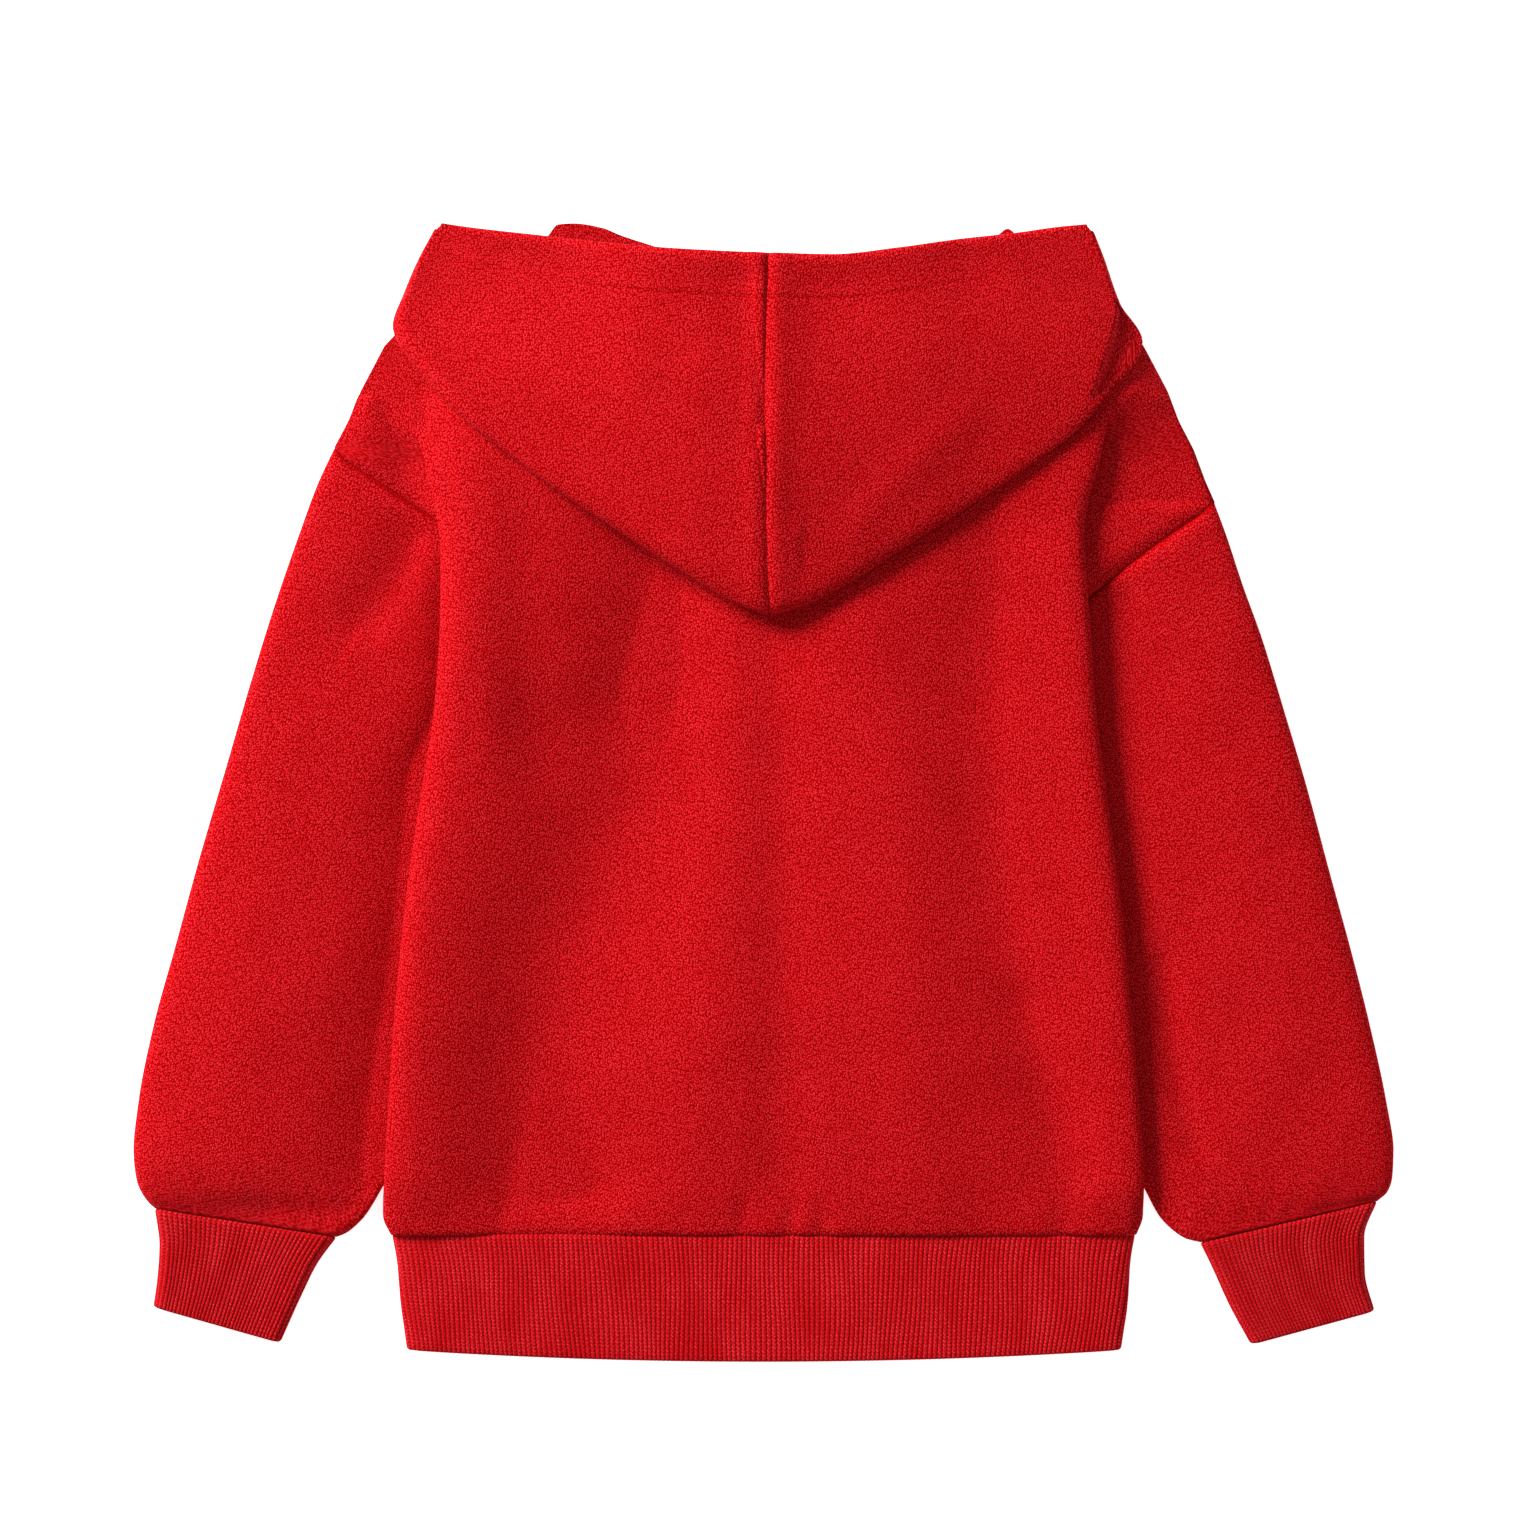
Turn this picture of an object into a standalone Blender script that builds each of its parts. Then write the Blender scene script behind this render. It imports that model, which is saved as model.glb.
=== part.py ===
"""Child's pullover hoodie laid flat, face down, hood folded over the back.

Frame: +Z up from the surface it lies on, +Y towards the neck, +X towards the
wearer's right sleeve. Tables are in millimetres; meshes are made in metres.
Each sewn piece is a thin wall: an open or tubular middle surface + Solidify.
"""
import math

import bpy
import numpy as np

# ---------------------------------------------------------------- dimensions
MM = 0.001
CLOTH = 2.2            # brushed sweatshirt fleece, one layer
RIB = 3.0              # 1x1 rib, folded double
GAP = 0.3              # between pieces at a seam
FLOOR = CLOTH / 2      # middle surface of cloth lying on the surface
RIB_FLOOR = RIB / 2
RIB_TOP = 6.5          # middle surface of the upper wall of a rib band
CREST = 14.5           # middle surface of the back over the folded garment
EDGE_Z = FLOOR + CLOTH + GAP   # back lying straight on the front
SEAM_Y = -199.6        # seam between body and hem rib
LAP = CLOTH + 1.0      # middle surface to middle surface, layers that touch
ROOF = 4.6             # the hood's middle stands this much above its sides
HOOD_GAP = 7.0         # upper to lower hood layer, middle to middle
NECK_W = 90.0          # half width of the neckline
NECK_BACK_Y = 225.0    # lowest point of the back neckline
NECK_FRONT_Y = 172.0   # lowest point of the front neckline
NECK_SIDE_Y = 234.0    # both necklines at the shoulder


# ---------------------------------------------------------------- tables
def table(names, *rows):
    cols = names.split()
    return {c: np.array([r[i] for r in rows], float) for i, c in enumerate(cols)}


# outer edge of body fold (lip) at each height, wearer's left and right;
# open/tuck/roll/flat say how the side is folded there
BODY_L = table("y lip open tuck roll flat",
               (-199.3, 168.0, 0, 0, 0, 1), (-191.0, 171.2, 0, 0, 0, 1),
               (-176.0, 170.4, 0, 0, 1, 0), (-138.0, 168.1, 0, 0, 1, 0),
               (-94.0, 164.9, 0, 0, 1, 0), (-46.0, 160.0, 0, 0, 1, 0),
               (3.0, 152.9, 0, 0, 1, 0), (41.0, 147.2, 0, 0, 1, 0),
               (86.0, 144.7, 0, 0, 1, 0), (108.0, 144.7, 0, 0, 1, 0),
               (117.0, 145.4, 0, 1, 0, 0), (124.0, 146.6, 0, 1, 0, 0),
               (134.0, 148.8, 0, 1, 0, 0), (150.0, 152.8, .25, .75, 0, 0),
               (165.0, 157.0, .7, .3, 0, 0), (178.0, 161.5, 1, 0, 0, 0),
               (201.2, 168.0, 1, 0, 0, 0))
BODY_R = table("y lip open tuck roll flat",
               (-199.3, 168.0, 0, 0, 0, 1), (-191.0, 170.7, 0, 0, 0, 1),
               (-176.0, 170.8, 0, 0, 1, 0), (-138.0, 168.4, 0, 0, 1, 0),
               (-94.0, 164.5, 0, 0, 1, 0), (-46.0, 159.8, 0, 0, 1, 0),
               (3.0, 153.3, 0, 0, 1, 0), (41.0, 148.6, 0, 0, 1, 0),
               (71.6, 146.6, 0, 0, 1, 0), (80.6, 145.9, 0, 1, 0, 0),
               (90.0, 145.2, 0, 1, 0, 0), (115.0, 143.8, 0, 1, 0, 0),
               (130.0, 145.3, 0, 1, 0, 0), (150.0, 151.0, .1, .9, 0, 0),
               (166.0, 154.5, .5, .5, 0, 0), (182.0, 158.5, 1, 0, 0, 0),
               (201.2, 166.0, 1, 0, 0, 0))

# how a side is folded: d = distance in from the lip, z, named by place.
# top and low stand for the panel's own height and the underside of the lip
FOLD_SHAPE = {
    "tuck": table("d top z", (14, 1, 0), (5, 1, 0), (-.85, .5, 4.7), (5, 0, 9.4),
                  (12, 0, 9.2), (16, 0, 7.3), (12, 0, 5.3)),
    "roll": table("d top z", (14, 1, 0), (5, 1, 0), (-.85, .5, 4.4), (5.5, 0, 8.9),
                  (13.5, 0, 7.6), (16.5, 0, 3.6), (19.5, 0, 1.1)),
    "flat": table("d top z", (14, 1, 0), (5, 1, 0), (-.85, .5, .55), (5, 0, 1.1),
                  (10, 0, 1.1), (15, 0, 1.1), (19.5, 0, 1.1)),
}
OPEN_SHARE = (0, .13, .25, .36, .47, .58, .69)   # the same places with no pleat
SIDE_SEAM_D = 25.0                        # side seam, in from the lip

# height of the back where nothing folds it, by distance along the body
BACK_HEIGHT = table("y z", (-199.3, RIB_TOP), (-197.6, 6.6), (-194.5, 8.4),
                    (-190.5, 10.8), (-184, 12.9), (-174, 14.0), (-150, CREST),
                    (0, CREST), (120, CREST), (180, 13.0), (225, 9.6), (245, 8.6))

# soft folds of the back: name, path, half width, height
BACK_FOLDS = (
    ("ridge left", ((-80, 100), (-94, 5), (-121, -49), (-148, -110)), 17, 1.6),
    ("valley left", ((-49, 90), (-59, -4), (-85, -76), (-112, -130), (-116, -179)), 15, -2.2),
    ("ridge mid left", ((-22, 77), (-26, -26), (-38, -116), (-51, -179)), 16, 1.8),
    ("valley mid", ((12, 45), (14, -71), (16, -179)), 15, -1.8),
    ("ridge mid right", ((58, 64), (58, -49), (59, -179)), 17, 1.6),
    ("valley right", ((100, 86), (100, -49), (125, -150)), 15, -2.0),
)
SLEEVE_FOLDS = (
    ("left diagonal", ((-160, 122), (-168, 104), (-184, 76)), 11, -1.5),
    ("left inner", ((-152, 5), (-161, -50), (-168, -120)), 11, -1.2),
    ("right inner", ((166, -60), (180, -120), (192, -160)), 9, -1.8),
    ("right outer", ((215, 60), (238, -20), (250, -90)), 13, 1.2),
)
HOOD_FOLDS = (
    ("left streak", ((-128, 234), (-92, 214), (-56, 190)), 11, 1.2),
    ("right ridge", ((48, 122), (75, 158)), 10, .8),
    ("right pleat", ((163, 221), (160, 203), (153, 185)), 5, -1.2),
)

# shoulder line: the two panels lie on each other and end here
SHOULDER = table("x y", (0, 236), (60, 236), (90, 234.6), (120, 230), (150, 218.5),
                 (171.4, 201.2), (182, 181), (187.4, 167.4), (194.3, 154.5),
                 (199.5, 140.5), (204.3, 129.5), (213, 105))

# armhole seams: outer point on the shoulder, inner point under the lip
ARM = {-1: dict(outer=(-194.5, 154.5), inner=(-137.0, 117.0), bow=-0.8),
       +1: dict(outer=(204.2, 130.0), inner=(138.0, 80.6), bow=2.0)}

# sleeve sections: outer and inner fold, then the height of the upper wall
# from the outer fold across to the inner one
SLEEVE_COLS = "ox oy ix iy z0 z1 z2 z3 z4"
SLEEVE = {
    -1: table(SLEEVE_COLS,
              (194.5, 154.5, 137.0, 117.0, 6.4, 7.0, 6.8, 5.8, 5.0),
              (202.0, 138.0, 136.8, 104.0, 7.2, 8.0, 7.4, 5.9, 5.0),
              (210.0, 116.0, 136.7, 86.0, 8.4, 9.4, 8.2, 6.0, 5.0),
              (221.0, 84.0, 137.8, 58.0, 9.6, 11.0, 9.2, 6.1, 5.0),
              (231.5, 50.0, 141.0, 28.0, 10.6, 12.4, 10.2, 6.3, 5.0),
              (242.8, 11.0, 147.0, -8.0, 11.6, 13.6, 11.0, 6.5, 5.0),
              (254.8, -30.0, 152.2, -44.0, 12.6, 14.8, 11.8, 6.7, 5.0),
              (265.7, -70.0, 155.9, -80.0, 13.4, 15.8, 12.6, 6.9, 5.0),
              (275.3, -105.0, 158.8, -112.0, 14.0, 16.6, 13.2, 7.2, 5.2),
              (282.0, -138.0, 161.8, -142.0, 13.8, 16.6, 13.6, 8.0, 5.4),
              (284.5, -161.0, 165.6, -165.0, 12.6, 15.4, 13.4, 9.0, 5.8),
              (283.2, -175.0, 173.3, -180.5, 10.8, 13.2, 12.2, 9.4, 6.2),
              (279.6, -182.8, 181.0, -192.5, 8.8, 10.2, 9.8, 8.6, 6.6),
              (275.4, -188.0, 188.6, -199.0, 6.8, 6.9, 6.8, 6.7, 6.5),
              (272.6, -190.6, 192.4, -200.4, 6.5, 6.5, 6.5, 6.5, 6.5)),
    +1: table(SLEEVE_COLS,
              (204.2, 130.0, 138.0, 80.6, 6.4, 7.0, 6.8, 5.8, 5.0),
              (209.6, 115.0, 138.6, 67.0, 7.2, 8.0, 7.4, 5.9, 5.0),
              (216.4, 94.0, 140.0, 49.0, 8.4, 9.4, 8.2, 6.0, 5.0),
              (225.3, 69.0, 141.6, 30.0, 9.6, 11.0, 9.2, 6.1, 5.0),
              (235.4, 36.0, 144.9, 6.0, 10.6, 12.6, 10.2, 6.3, 5.0),
              (246.0, 0.0, 148.9, -22.0, 11.6, 13.8, 11.0, 6.5, 5.0),
              (255.6, -36.0, 152.6, -52.0, 12.6, 15.0, 11.8, 6.7, 5.0),
              (265.4, -72.0, 155.5, -84.0, 13.4, 16.0, 12.6, 6.9, 5.0),
              (273.7, -105.0, 158.2, -114.0, 14.0, 16.8, 13.2, 7.2, 5.2),
              (280.9, -138.0, 161.6, -143.0, 13.8, 16.8, 13.6, 8.0, 5.4),
              (284.5, -161.0, 165.4, -165.0, 12.6, 15.6, 13.4, 9.0, 5.8),
              (284.0, -174.0, 172.8, -180.5, 10.8, 13.4, 12.2, 9.6, 6.2),
              (281.6, -180.6, 180.0, -193.0, 8.8, 10.2, 9.8, 8.8, 6.6),
              (277.8, -185.2, 190.6, -201.4, 6.8, 6.9, 6.8, 6.7, 6.5),
              (275.4, -187.2, 196.8, -202.8, 6.5, 6.5, 6.5, 6.5, 6.5)),
}
CUFF = {
    -1: table("ox oy ix iy", (272.6, -191.4, 193.0, -201.2), (272.9, -204.5, 202.0, -213.6),
              (273.7, -218.5, 209.2, -228.2), (275.6, -232.3, 217.6, -247.6)),
    +1: table("ox oy ix iy", (275.2, -188.1, 197.4, -203.7), (271.4, -201.0, 203.4, -216.2),
              (271.6, -217.0, 210.6, -232.0), (274.6, -233.2, 219.8, -248.2)),
}
HEM = table("y left right bow", (SEAM_Y, 168.0, 168.0, 0.0), (-213.0, 165.6, 165.8, -.8),
            (-232.0, 163.8, 164.4, -3.0), (-252.0, 161.2, 161.6, -5.2))

# hood: the rim that shows, the rim of the throat behind it, and the folded
# edge from the tip at the bottom out to the corner and up to the rim
HOOD_RIM = table("x y", (-145.6, 255.6), (-132, 253.4), (-98.3, 249.3), (-73.6, 246.2),
                 (-37.6, 242.6), (2.9, 240.8), (29.9, 240.3), (61.4, 243.9),
                 (88.4, 248.4), (115.4, 251.6), (133.4, 254.3), (146.9, 255.6))
THROAT_RIM = table("x y", (-145.6, 253.5), (-126, 250), (-103, 247), (-98, 251), (-93, 256.7),
                   (-86, 257.2), (-73, 255.2), (-64.6, 251.8), (-50, 247), (-36, 242),
                   (0, 238), (60, 241), (98, 246.5), (105, 251), (110.5, 254.8),
                   (115, 251.5), (121, 249), (134, 252), (146.9, 253.5))
HOOD_EDGE = {
    -1: table("x y", (2.4, 78.3), (-10.6, 82.8), (-33.1, 95.4), (-64.6, 115.7),
              (-91.6, 133.7), (-118.6, 153.9), (-141.1, 171.9), (-154.6, 187.7),
              (-165.8, 203.4), (-167.2, 208.5), (-162.2, 223.7), (-154.1, 241.7),
              (-145.6, 255.6)),
    +1: table("x y", (2.4, 78.3), (16.4, 81.9), (38.9, 93.2), (61.4, 107.6),
              (88.4, 124.7), (115.4, 142.7), (142.4, 162.9), (155.9, 179.6),
              (168.5, 193.5), (171.4, 201.5), (160.9, 219.2), (152.8, 241.7),
              (146.9, 255.6)),
}
HOOD_SEAM = table("y x", (75, 2.4), (160, .9), (200, 1.0), (260, 2.9))
# columns of the hood, seam to corner: x on the rim, share of the folded edge
HOOD_COLUMNS = {
    -1: table("x q", (0, 0), (20, .10), (38, .20), (56, .30), (72, .41), (86, .52),
              (93, .60), (101, .67), (114, .75), (127, .83), (138, .91), (143.5, .975)),
    +1: table("x q", (0, 0), (22, .10), (44, .21), (63, .31), (79, .42), (90, .53),
              (100, .61), (109, .68), (116, .75), (127, .83), (139, .91), (144.5, .975)),
}
NECK_COLUMN = 5        # the column that meets the shoulder seam at the neck

COLOURS = {"fleece": (0.52, 0.006, 0.011), "rib": (0.47, 0.007, 0.012)}


# ---------------------------------------------------------------- mathematics
def curve(xs, ys, x):
    """Smooth curve through the points that never overshoots them."""
    if xs[0] > xs[-1]:
        xs, ys = xs[::-1], ys[::-1]
    h = np.diff(xs)
    m = np.diff(ys) / h
    d = np.zeros(len(xs))
    d[0], d[-1] = m[0], m[-1]
    for i in range(1, len(xs) - 1):
        if m[i - 1] * m[i] > 0:
            w1, w2 = 2 * h[i] + h[i - 1], h[i] + 2 * h[i - 1]
            d[i] = (w1 + w2) / (w1 / m[i - 1] + w2 / m[i])
    x = np.clip(np.asarray(x, float), xs[0], xs[-1])
    i = np.clip(np.searchsorted(xs, x) - 1, 0, len(h) - 1)
    t = (x - xs[i]) / h[i]
    return (ys[i] * (1 + 2 * t) * (1 - t) ** 2 + h[i] * d[i] * t * (1 - t) ** 2
            + ys[i + 1] * t * t * (3 - 2 * t) + h[i] * d[i + 1] * t * t * (t - 1))


def look(tab, key, name, value):
    return curve(tab[key], tab[name], value)


def smooth(a, b, x):
    t = np.clip((np.asarray(x, float) - a) / (b - a), 0, 1)
    return t * t * (3 - 2 * t)


def spline(ctrl, closed=False):
    """One point of the uniform cubic B-spline at each control point."""
    p = np.asarray(ctrl, float)
    if closed:
        return (np.roll(p, 1, 0) + 4 * p + np.roll(p, -1, 0)) / 6
    out = p.copy()
    out[1:-1] = (p[:-2] + 4 * p[1:-1] + p[2:]) / 6
    return out


def path_distance(pts, x, y):
    """Distance to a polyline in plan, and the share of its length there."""
    p = np.asarray(pts, float)
    length = np.concatenate([[0], np.cumsum(np.hypot(*np.diff(p, axis=0).T))])
    best = np.full(np.shape(x), 1e9)
    share = np.zeros(np.shape(x))
    for i in range(len(p) - 1):
        a, b = p[i], p[i + 1]
        ab = b - a
        t = np.clip(((x - a[0]) * ab[0] + (y - a[1]) * ab[1]) / (ab @ ab), 0, 1)
        d = np.hypot(x - a[0] - t * ab[0], y - a[1] - t * ab[1])
        near = d < best
        best = np.where(near, d, best)
        share = np.where(near, (length[i] + t * (length[i + 1] - length[i])) / length[-1], share)
    return best, share


def folds(which, x, y):
    """Height added by soft ridges and troughs that fade at their ends."""
    x, y = np.asarray(x, float), np.asarray(y, float)
    z = np.zeros(np.broadcast(x, y).shape)
    for _, path, width, height in which:
        d, _ = path_distance(path, x, y)
        z = z + height * np.exp(-(d / width) ** 2)
    return z


SHOULDER_LINE = {s: np.column_stack([s * SHOULDER["x"], SHOULDER["y"]]) for s in (-1, 1)}


def beyond_shoulder(x, y):
    """Signed distance past the shoulder line in plan, negative on the body."""
    x, y = np.asarray(x, float), np.asarray(y, float)
    dl, _ = path_distance(SHOULDER_LINE[-1], x, y)
    dr, _ = path_distance(SHOULDER_LINE[1], x, y)
    inside = y < curve(SHOULDER["x"], SHOULDER["y"], np.abs(x))
    return np.where(inside, -1, 1) * np.minimum(dl, dr)


# ---------------------------------------------------------------- the body
def back_height(x, y):
    """Middle surface of the back with its folds, thinning to the shoulder."""
    z = look(BACK_HEIGHT, "y", "z", y)
    z = z + folds(BACK_FOLDS, x, y) * smooth(-198, -165, y)
    s = np.clip(-beyond_shoulder(x, y) / 42.0, 0, 1)
    s = s + (1 - s) * .8 * smooth(NECK_W + 5, NECK_W - 45, np.abs(x))   # neck stays open
    return EDGE_Z + (z - EDGE_Z) * (1 - (1 - s) ** 2.4)


def arm_point(side, u, shift=0.0):
    """Armhole seam in plan; shift moves it towards the sleeve."""
    o, i = np.array(ARM[side]["outer"]), np.array(ARM[side]["inner"])
    along = (i - o) / np.hypot(*(i - o))
    out = np.array([along[1], -along[0]]) * side      # towards the hem
    if out[1] > 0:
        out = -out
    u = np.asarray(u, float)[..., None]
    return o + u * (i - o) - out * ARM[side]["bow"] * 4 * u * (1 - u) + out * shift


def arm_share(side, y):
    """Share of the armhole seam, outer to inner, at which it has this y."""
    u = np.linspace(0, 1, 201)
    ys = arm_point(side, u, -GAP)[:, 1]
    return float(np.interp(-y, -ys, u))


def ring_ctrl(width, z0, z1, z2, z3, z4, base):
    """Section of a flattened tube: s runs from the outer fold to the inner."""
    h0, h4 = z0 - base, z4 - base
    r0, r4 = min(6.0, .5 * h0 + 1), min(5.0, .5 * h4 + 1)
    return [(.50 * width, base), (.28 * width, base), (3.2 * r0, base), (r0, base),
            (-.1, base + .22 * h0), (-.1, base + .72 * h0), (1.1 * r0, z0),
            (.20 * width, z1), (.40 * width, z2), (.62 * width, (z2 + z3) / 2),
            (.80 * width, z3), (width - 2.6 * r4, .35 * z3 + .65 * z4), (width - r4, z4),
            (width + .6, base + .5 * h4), (width - r4, base), (width - 3.2 * r4, base),
            (.72 * width, base)]


def inset_fold(pts, width, wall):
    """Stretch a section so that its outer skin just spans the width."""
    lo, hi = pts[:, 0].min(), pts[:, 0].max()
    pts[:, 0] = wall / 2 + (pts[:, 0] - lo) * (width - wall) / (hi - lo)
    return pts


def sleeve_ring(side, k):
    row = {c: SLEEVE[side][c][k] for c in SLEEVE_COLS.split()}
    o = np.array([side * row["ox"], row["oy"]])
    i = np.array([side * row["ix"], row["iy"]])
    width = np.hypot(*(i - o))
    ctrl = ring_ctrl(width, row["z0"], row["z1"], row["z2"], row["z3"], row["z4"], FLOOR)
    sec = inset_fold(spline(ctrl, closed=True), width, CLOTH)
    u = sec[:, 0] / width
    plan = o + u[:, None] * (i - o)
    bow = max(0.0, 1 - k / 3.0)
    if bow:
        seam = arm_point(side, u, 1.3 * GAP) - arm_point(side, 0) - u[:, None] * (i - o)
        plan = plan + bow * seam if k else arm_point(side, u, 1.3 * GAP)
    z = sec[:, 1]
    last = len(SLEEVE[side]["ox"]) - 1
    raised = np.clip((z - 5.0) / 4.0, 0, 1) * smooth(0, 2, k) * smooth(0, 3, last - k)
    return np.column_stack([plan, z + raised * folds(SLEEVE_FOLDS, plan[:, 0], plan[:, 1])])


def arm_height(side, u):
    """Height of the sleeve's upper wall along the armhole seam."""
    row = {c: SLEEVE[side][c][0] for c in SLEEVE_COLS.split()}
    width = np.hypot(row["ox"] - row["ix"], row["oy"] - row["iy"])
    ctrl = ring_ctrl(width, row["z0"], row["z1"], row["z2"], row["z3"], row["z4"], FLOOR)
    sec = inset_fold(spline(ctrl, closed=True), width, CLOTH)
    top = sec[4:14]
    return float(np.interp(u * width, top[:, 0], top[:, 1]))


def side_ctrl(side, y):
    """Control points of the back's side at height y, seam end first."""
    body = BODY_L if side < 0 else BODY_R
    lip = float(look(body, "y", "lip", y))
    w = {n: float(smooth(0, 1, np.interp(y, body["y"], body[n])))
         for n in ("open", "tuck", "roll", "flat")}
    x_top = lip - 14
    top = float(back_height(side * x_top, y))
    y_outer, y_inner = ARM[side]["outer"][1], ARM[side]["inner"][1]
    if y > y_outer:                                   # shoulder edge
        ex = float(np.interp(-y, -SHOULDER["y"], SHOULDER["x"]))
        ez = EDGE_Z
    elif y >= y_inner:                                # armhole seam
        u = arm_share(side, y)
        ex = side * float(arm_point(side, u, -GAP)[0])
        ez = max(arm_height(side, u), EDGE_Z)
    else:                                             # side seam, on the surface
        drop = float(smooth(y_inner, y_inner - 9, y))
        ex = (1 - drop) * abs(ARM[side]["inner"][0]) + drop * (lip - SIDE_SEAM_D) + GAP / 2
        ex += 5.0 * drop * (1 - drop)                 # clear where the seam runs aslant
        ez = (1 - drop) * EDGE_Z + drop * FLOOR
    pts = []
    for j, share in enumerate(OPEN_SHARE):
        ox = x_top + (ex - x_top) * share
        x = w["open"] * ox
        z = w["open"] * float(back_height(side * ox, y))
        for name, shape in FOLD_SHAPE.items():
            x += w[name] * (lip - shape["d"][j])
            z += w[name] * (shape["top"][j] * top + shape["z"][j])
        pts.append((side * x, z))
    hx, hz = side * pts[-1][0], pts[-1][1]
    if y >= y_inner:
        body_wing = [(hx + (ex - hx) * f, hz + (ez - hz) * f
                      + .8 * math.sin(math.pi * f) * w["open"]) for f in (.34, .67)]
    else:
        body_wing = [(hx + (ex - hx) * f, hz + (ez - hz) * f) for f in (.34, .67)]
    tail = [(side * x, z) for x, z in body_wing] + [(side * ex, ez)]
    return [(x, z) for x, z in (pts + tail)][::-1]


def top_line(x, low, width=NECK_W):
    """Top edge of a body panel: its neckline, then the shoulder line."""
    x = np.minimum(np.abs(np.asarray(x, float)), 171.4)
    neck = low + (NECK_SIDE_Y - low) * (x / width) ** 2
    return np.where(x < width, neck, curve(SHOULDER["x"], SHOULDER["y"], x))


def back_grid(n_main=11):
    straight = [-199.3, -197.6, -194.5, -190, -182, -170, -148, -118, -85, -50, -15, 20, 48,
                71.6, 76, 80.7, 88, 99, 108, 112.5, 117.05, 125, 130, 134, 144, 154.4, 166, 178]
    rows = []
    for y in straight:
        rows.append((y, 0.0))
    for t in (.3, .6, .82, .94, 1.0):
        rows.append((178 + (201.2 - 178) * t, t))
    grid = []
    for y, t in rows:
        left, right = side_ctrl(-1, y), side_ctrl(1, y)
        xs = np.linspace(left[-1][0], right[-1][0], n_main + 2)[1:-1]
        main = [(x, float(back_height(x, y))) for x in xs]
        sec = spline(left + main + right[::-1])
        ys = np.full(len(sec), float(y))
        zs = sec[:, 1]
        if t > 0:
            top = top_line(sec[:, 0], NECK_BACK_Y)
            ys = 178 + (top - 178) * t
            zs = back_height(sec[:, 0], ys)
        grid.append(np.column_stack([sec[:, 0], ys, zs]))
    return np.array(grid)


def front_end(side, y):
    y_outer, y_inner = ARM[side]["outer"][1], ARM[side]["inner"][1]
    if y > y_outer:
        return side * float(np.interp(-y, -SHOULDER["y"], SHOULDER["x"]))
    if y >= y_inner:
        return float(arm_point(side, arm_share(side, y), -GAP)[0])
    body = BODY_L if side < 0 else BODY_R
    lip = float(look(body, "y", "lip", y))
    drop = float(smooth(y_inner, y_inner - 9, y))
    ex = (1 - drop) * abs(ARM[side]["inner"][0]) + drop * (lip - SIDE_SEAM_D) - GAP / 2
    return side * ex


def front_grid():
    rows = [(y, 0.0) for y in (-199.3, -190, -170, -118, -50, -15, 20, 48, 71.6, 76, 80.7,
                               99, 108, 112.5, 117.05, 130, 142, 154.4, 166)]
    rows += [(166 + (201.2 - 166) * t, t) for t in (.5, 1.0)]
    grid = []
    for y, t in rows:
        xl, xr = front_end(-1, y), front_end(1, y)
        neck_l = [-float(v) for v in HOOD_COLUMNS[-1]["x"][NECK_COLUMN:0:-1]]
        neck_r = [float(v) for v in HOOD_COLUMNS[1]["x"][1:NECK_COLUMN + 1]]
        inner = neck_l + [float(look(HOOD_SEAM, "y", "x", 241))] + neck_r
        xs = np.array([xl, xl * .55 + inner[0] * .45] + inner
                      + [xr * .55 + inner[-1] * .45, xr])
        ys = np.full(len(xs), float(y))
        if t > 0:
            ys = 166 + (top_line(xs, NECK_FRONT_Y) - 166) * t
        grid.append(np.column_stack([xs, ys, np.full(len(xs), FLOOR)]))
    return np.array(grid)


# ---------------------------------------------------------------- rib bands
def rib_ring(o, i, bow=0.0):
    o, i = np.array(o, float), np.array(i, float)
    width = np.hypot(*(i - o))
    h = RIB_TOP - RIB_FLOOR
    r = h / 2 + .6
    half = [(.5, 0), (.25, 0), (.08, 0)]
    ctrl = [(f * width, RIB_FLOOR) for f, _ in half]
    ctrl += [(r, RIB_FLOOR), (0, RIB_FLOOR + .5 * h), (r, RIB_TOP)]
    ctrl += [(f * width, RIB_TOP) for f in (.08, .25, .5, .75, .92)]
    ctrl += [(width - r, RIB_TOP), (width, RIB_FLOOR + .5 * h), (width - r, RIB_FLOOR)]
    ctrl += [(f * width, RIB_FLOOR) for f in (.92, .75)]
    sec = inset_fold(spline(ctrl, closed=True), width, RIB)
    u = sec[:, 0] / width
    plan = o + u[:, None] * (i - o)
    plan[:, 1] += bow * 4 * u * (1 - u)
    return np.column_stack([plan, sec[:, 1]])


# ---------------------------------------------------------------- the hood
def under_layer(x, y):
    """Lower hood layer: on the back, then down over the shoulder line."""
    over = back_height(x, y) + LAP
    e = beyond_shoulder(x, y)
    return FLOOR + (over - FLOOR) * (1 - smooth(2.5, 11.0, e))


def upper_layer(x, y):
    """Upper hood layer with its own soft folds."""
    base = 10.0 + .95 * (back_height(x, y) - EDGE_Z) + HOOD_GAP - 3.4
    base = base + ROOF * (1 - smooth(-12, 100, np.abs(x)))
    rim = smooth(0, 30, look(HOOD_RIM, "x", "y", x) - y)
    return base + folds(HOOD_FOLDS, x, y) * rim


def edge_point(side, q):
    p = np.column_stack([HOOD_EDGE[side]["x"], HOOD_EDGE[side]["y"]])
    length = np.concatenate([[0], np.cumsum(np.hypot(*np.diff(p, axis=0).T))])
    s = q * length[-1]
    return np.array([np.interp(s, length, p[:, 0]), np.interp(s, length, p[:, 1])])


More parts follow.
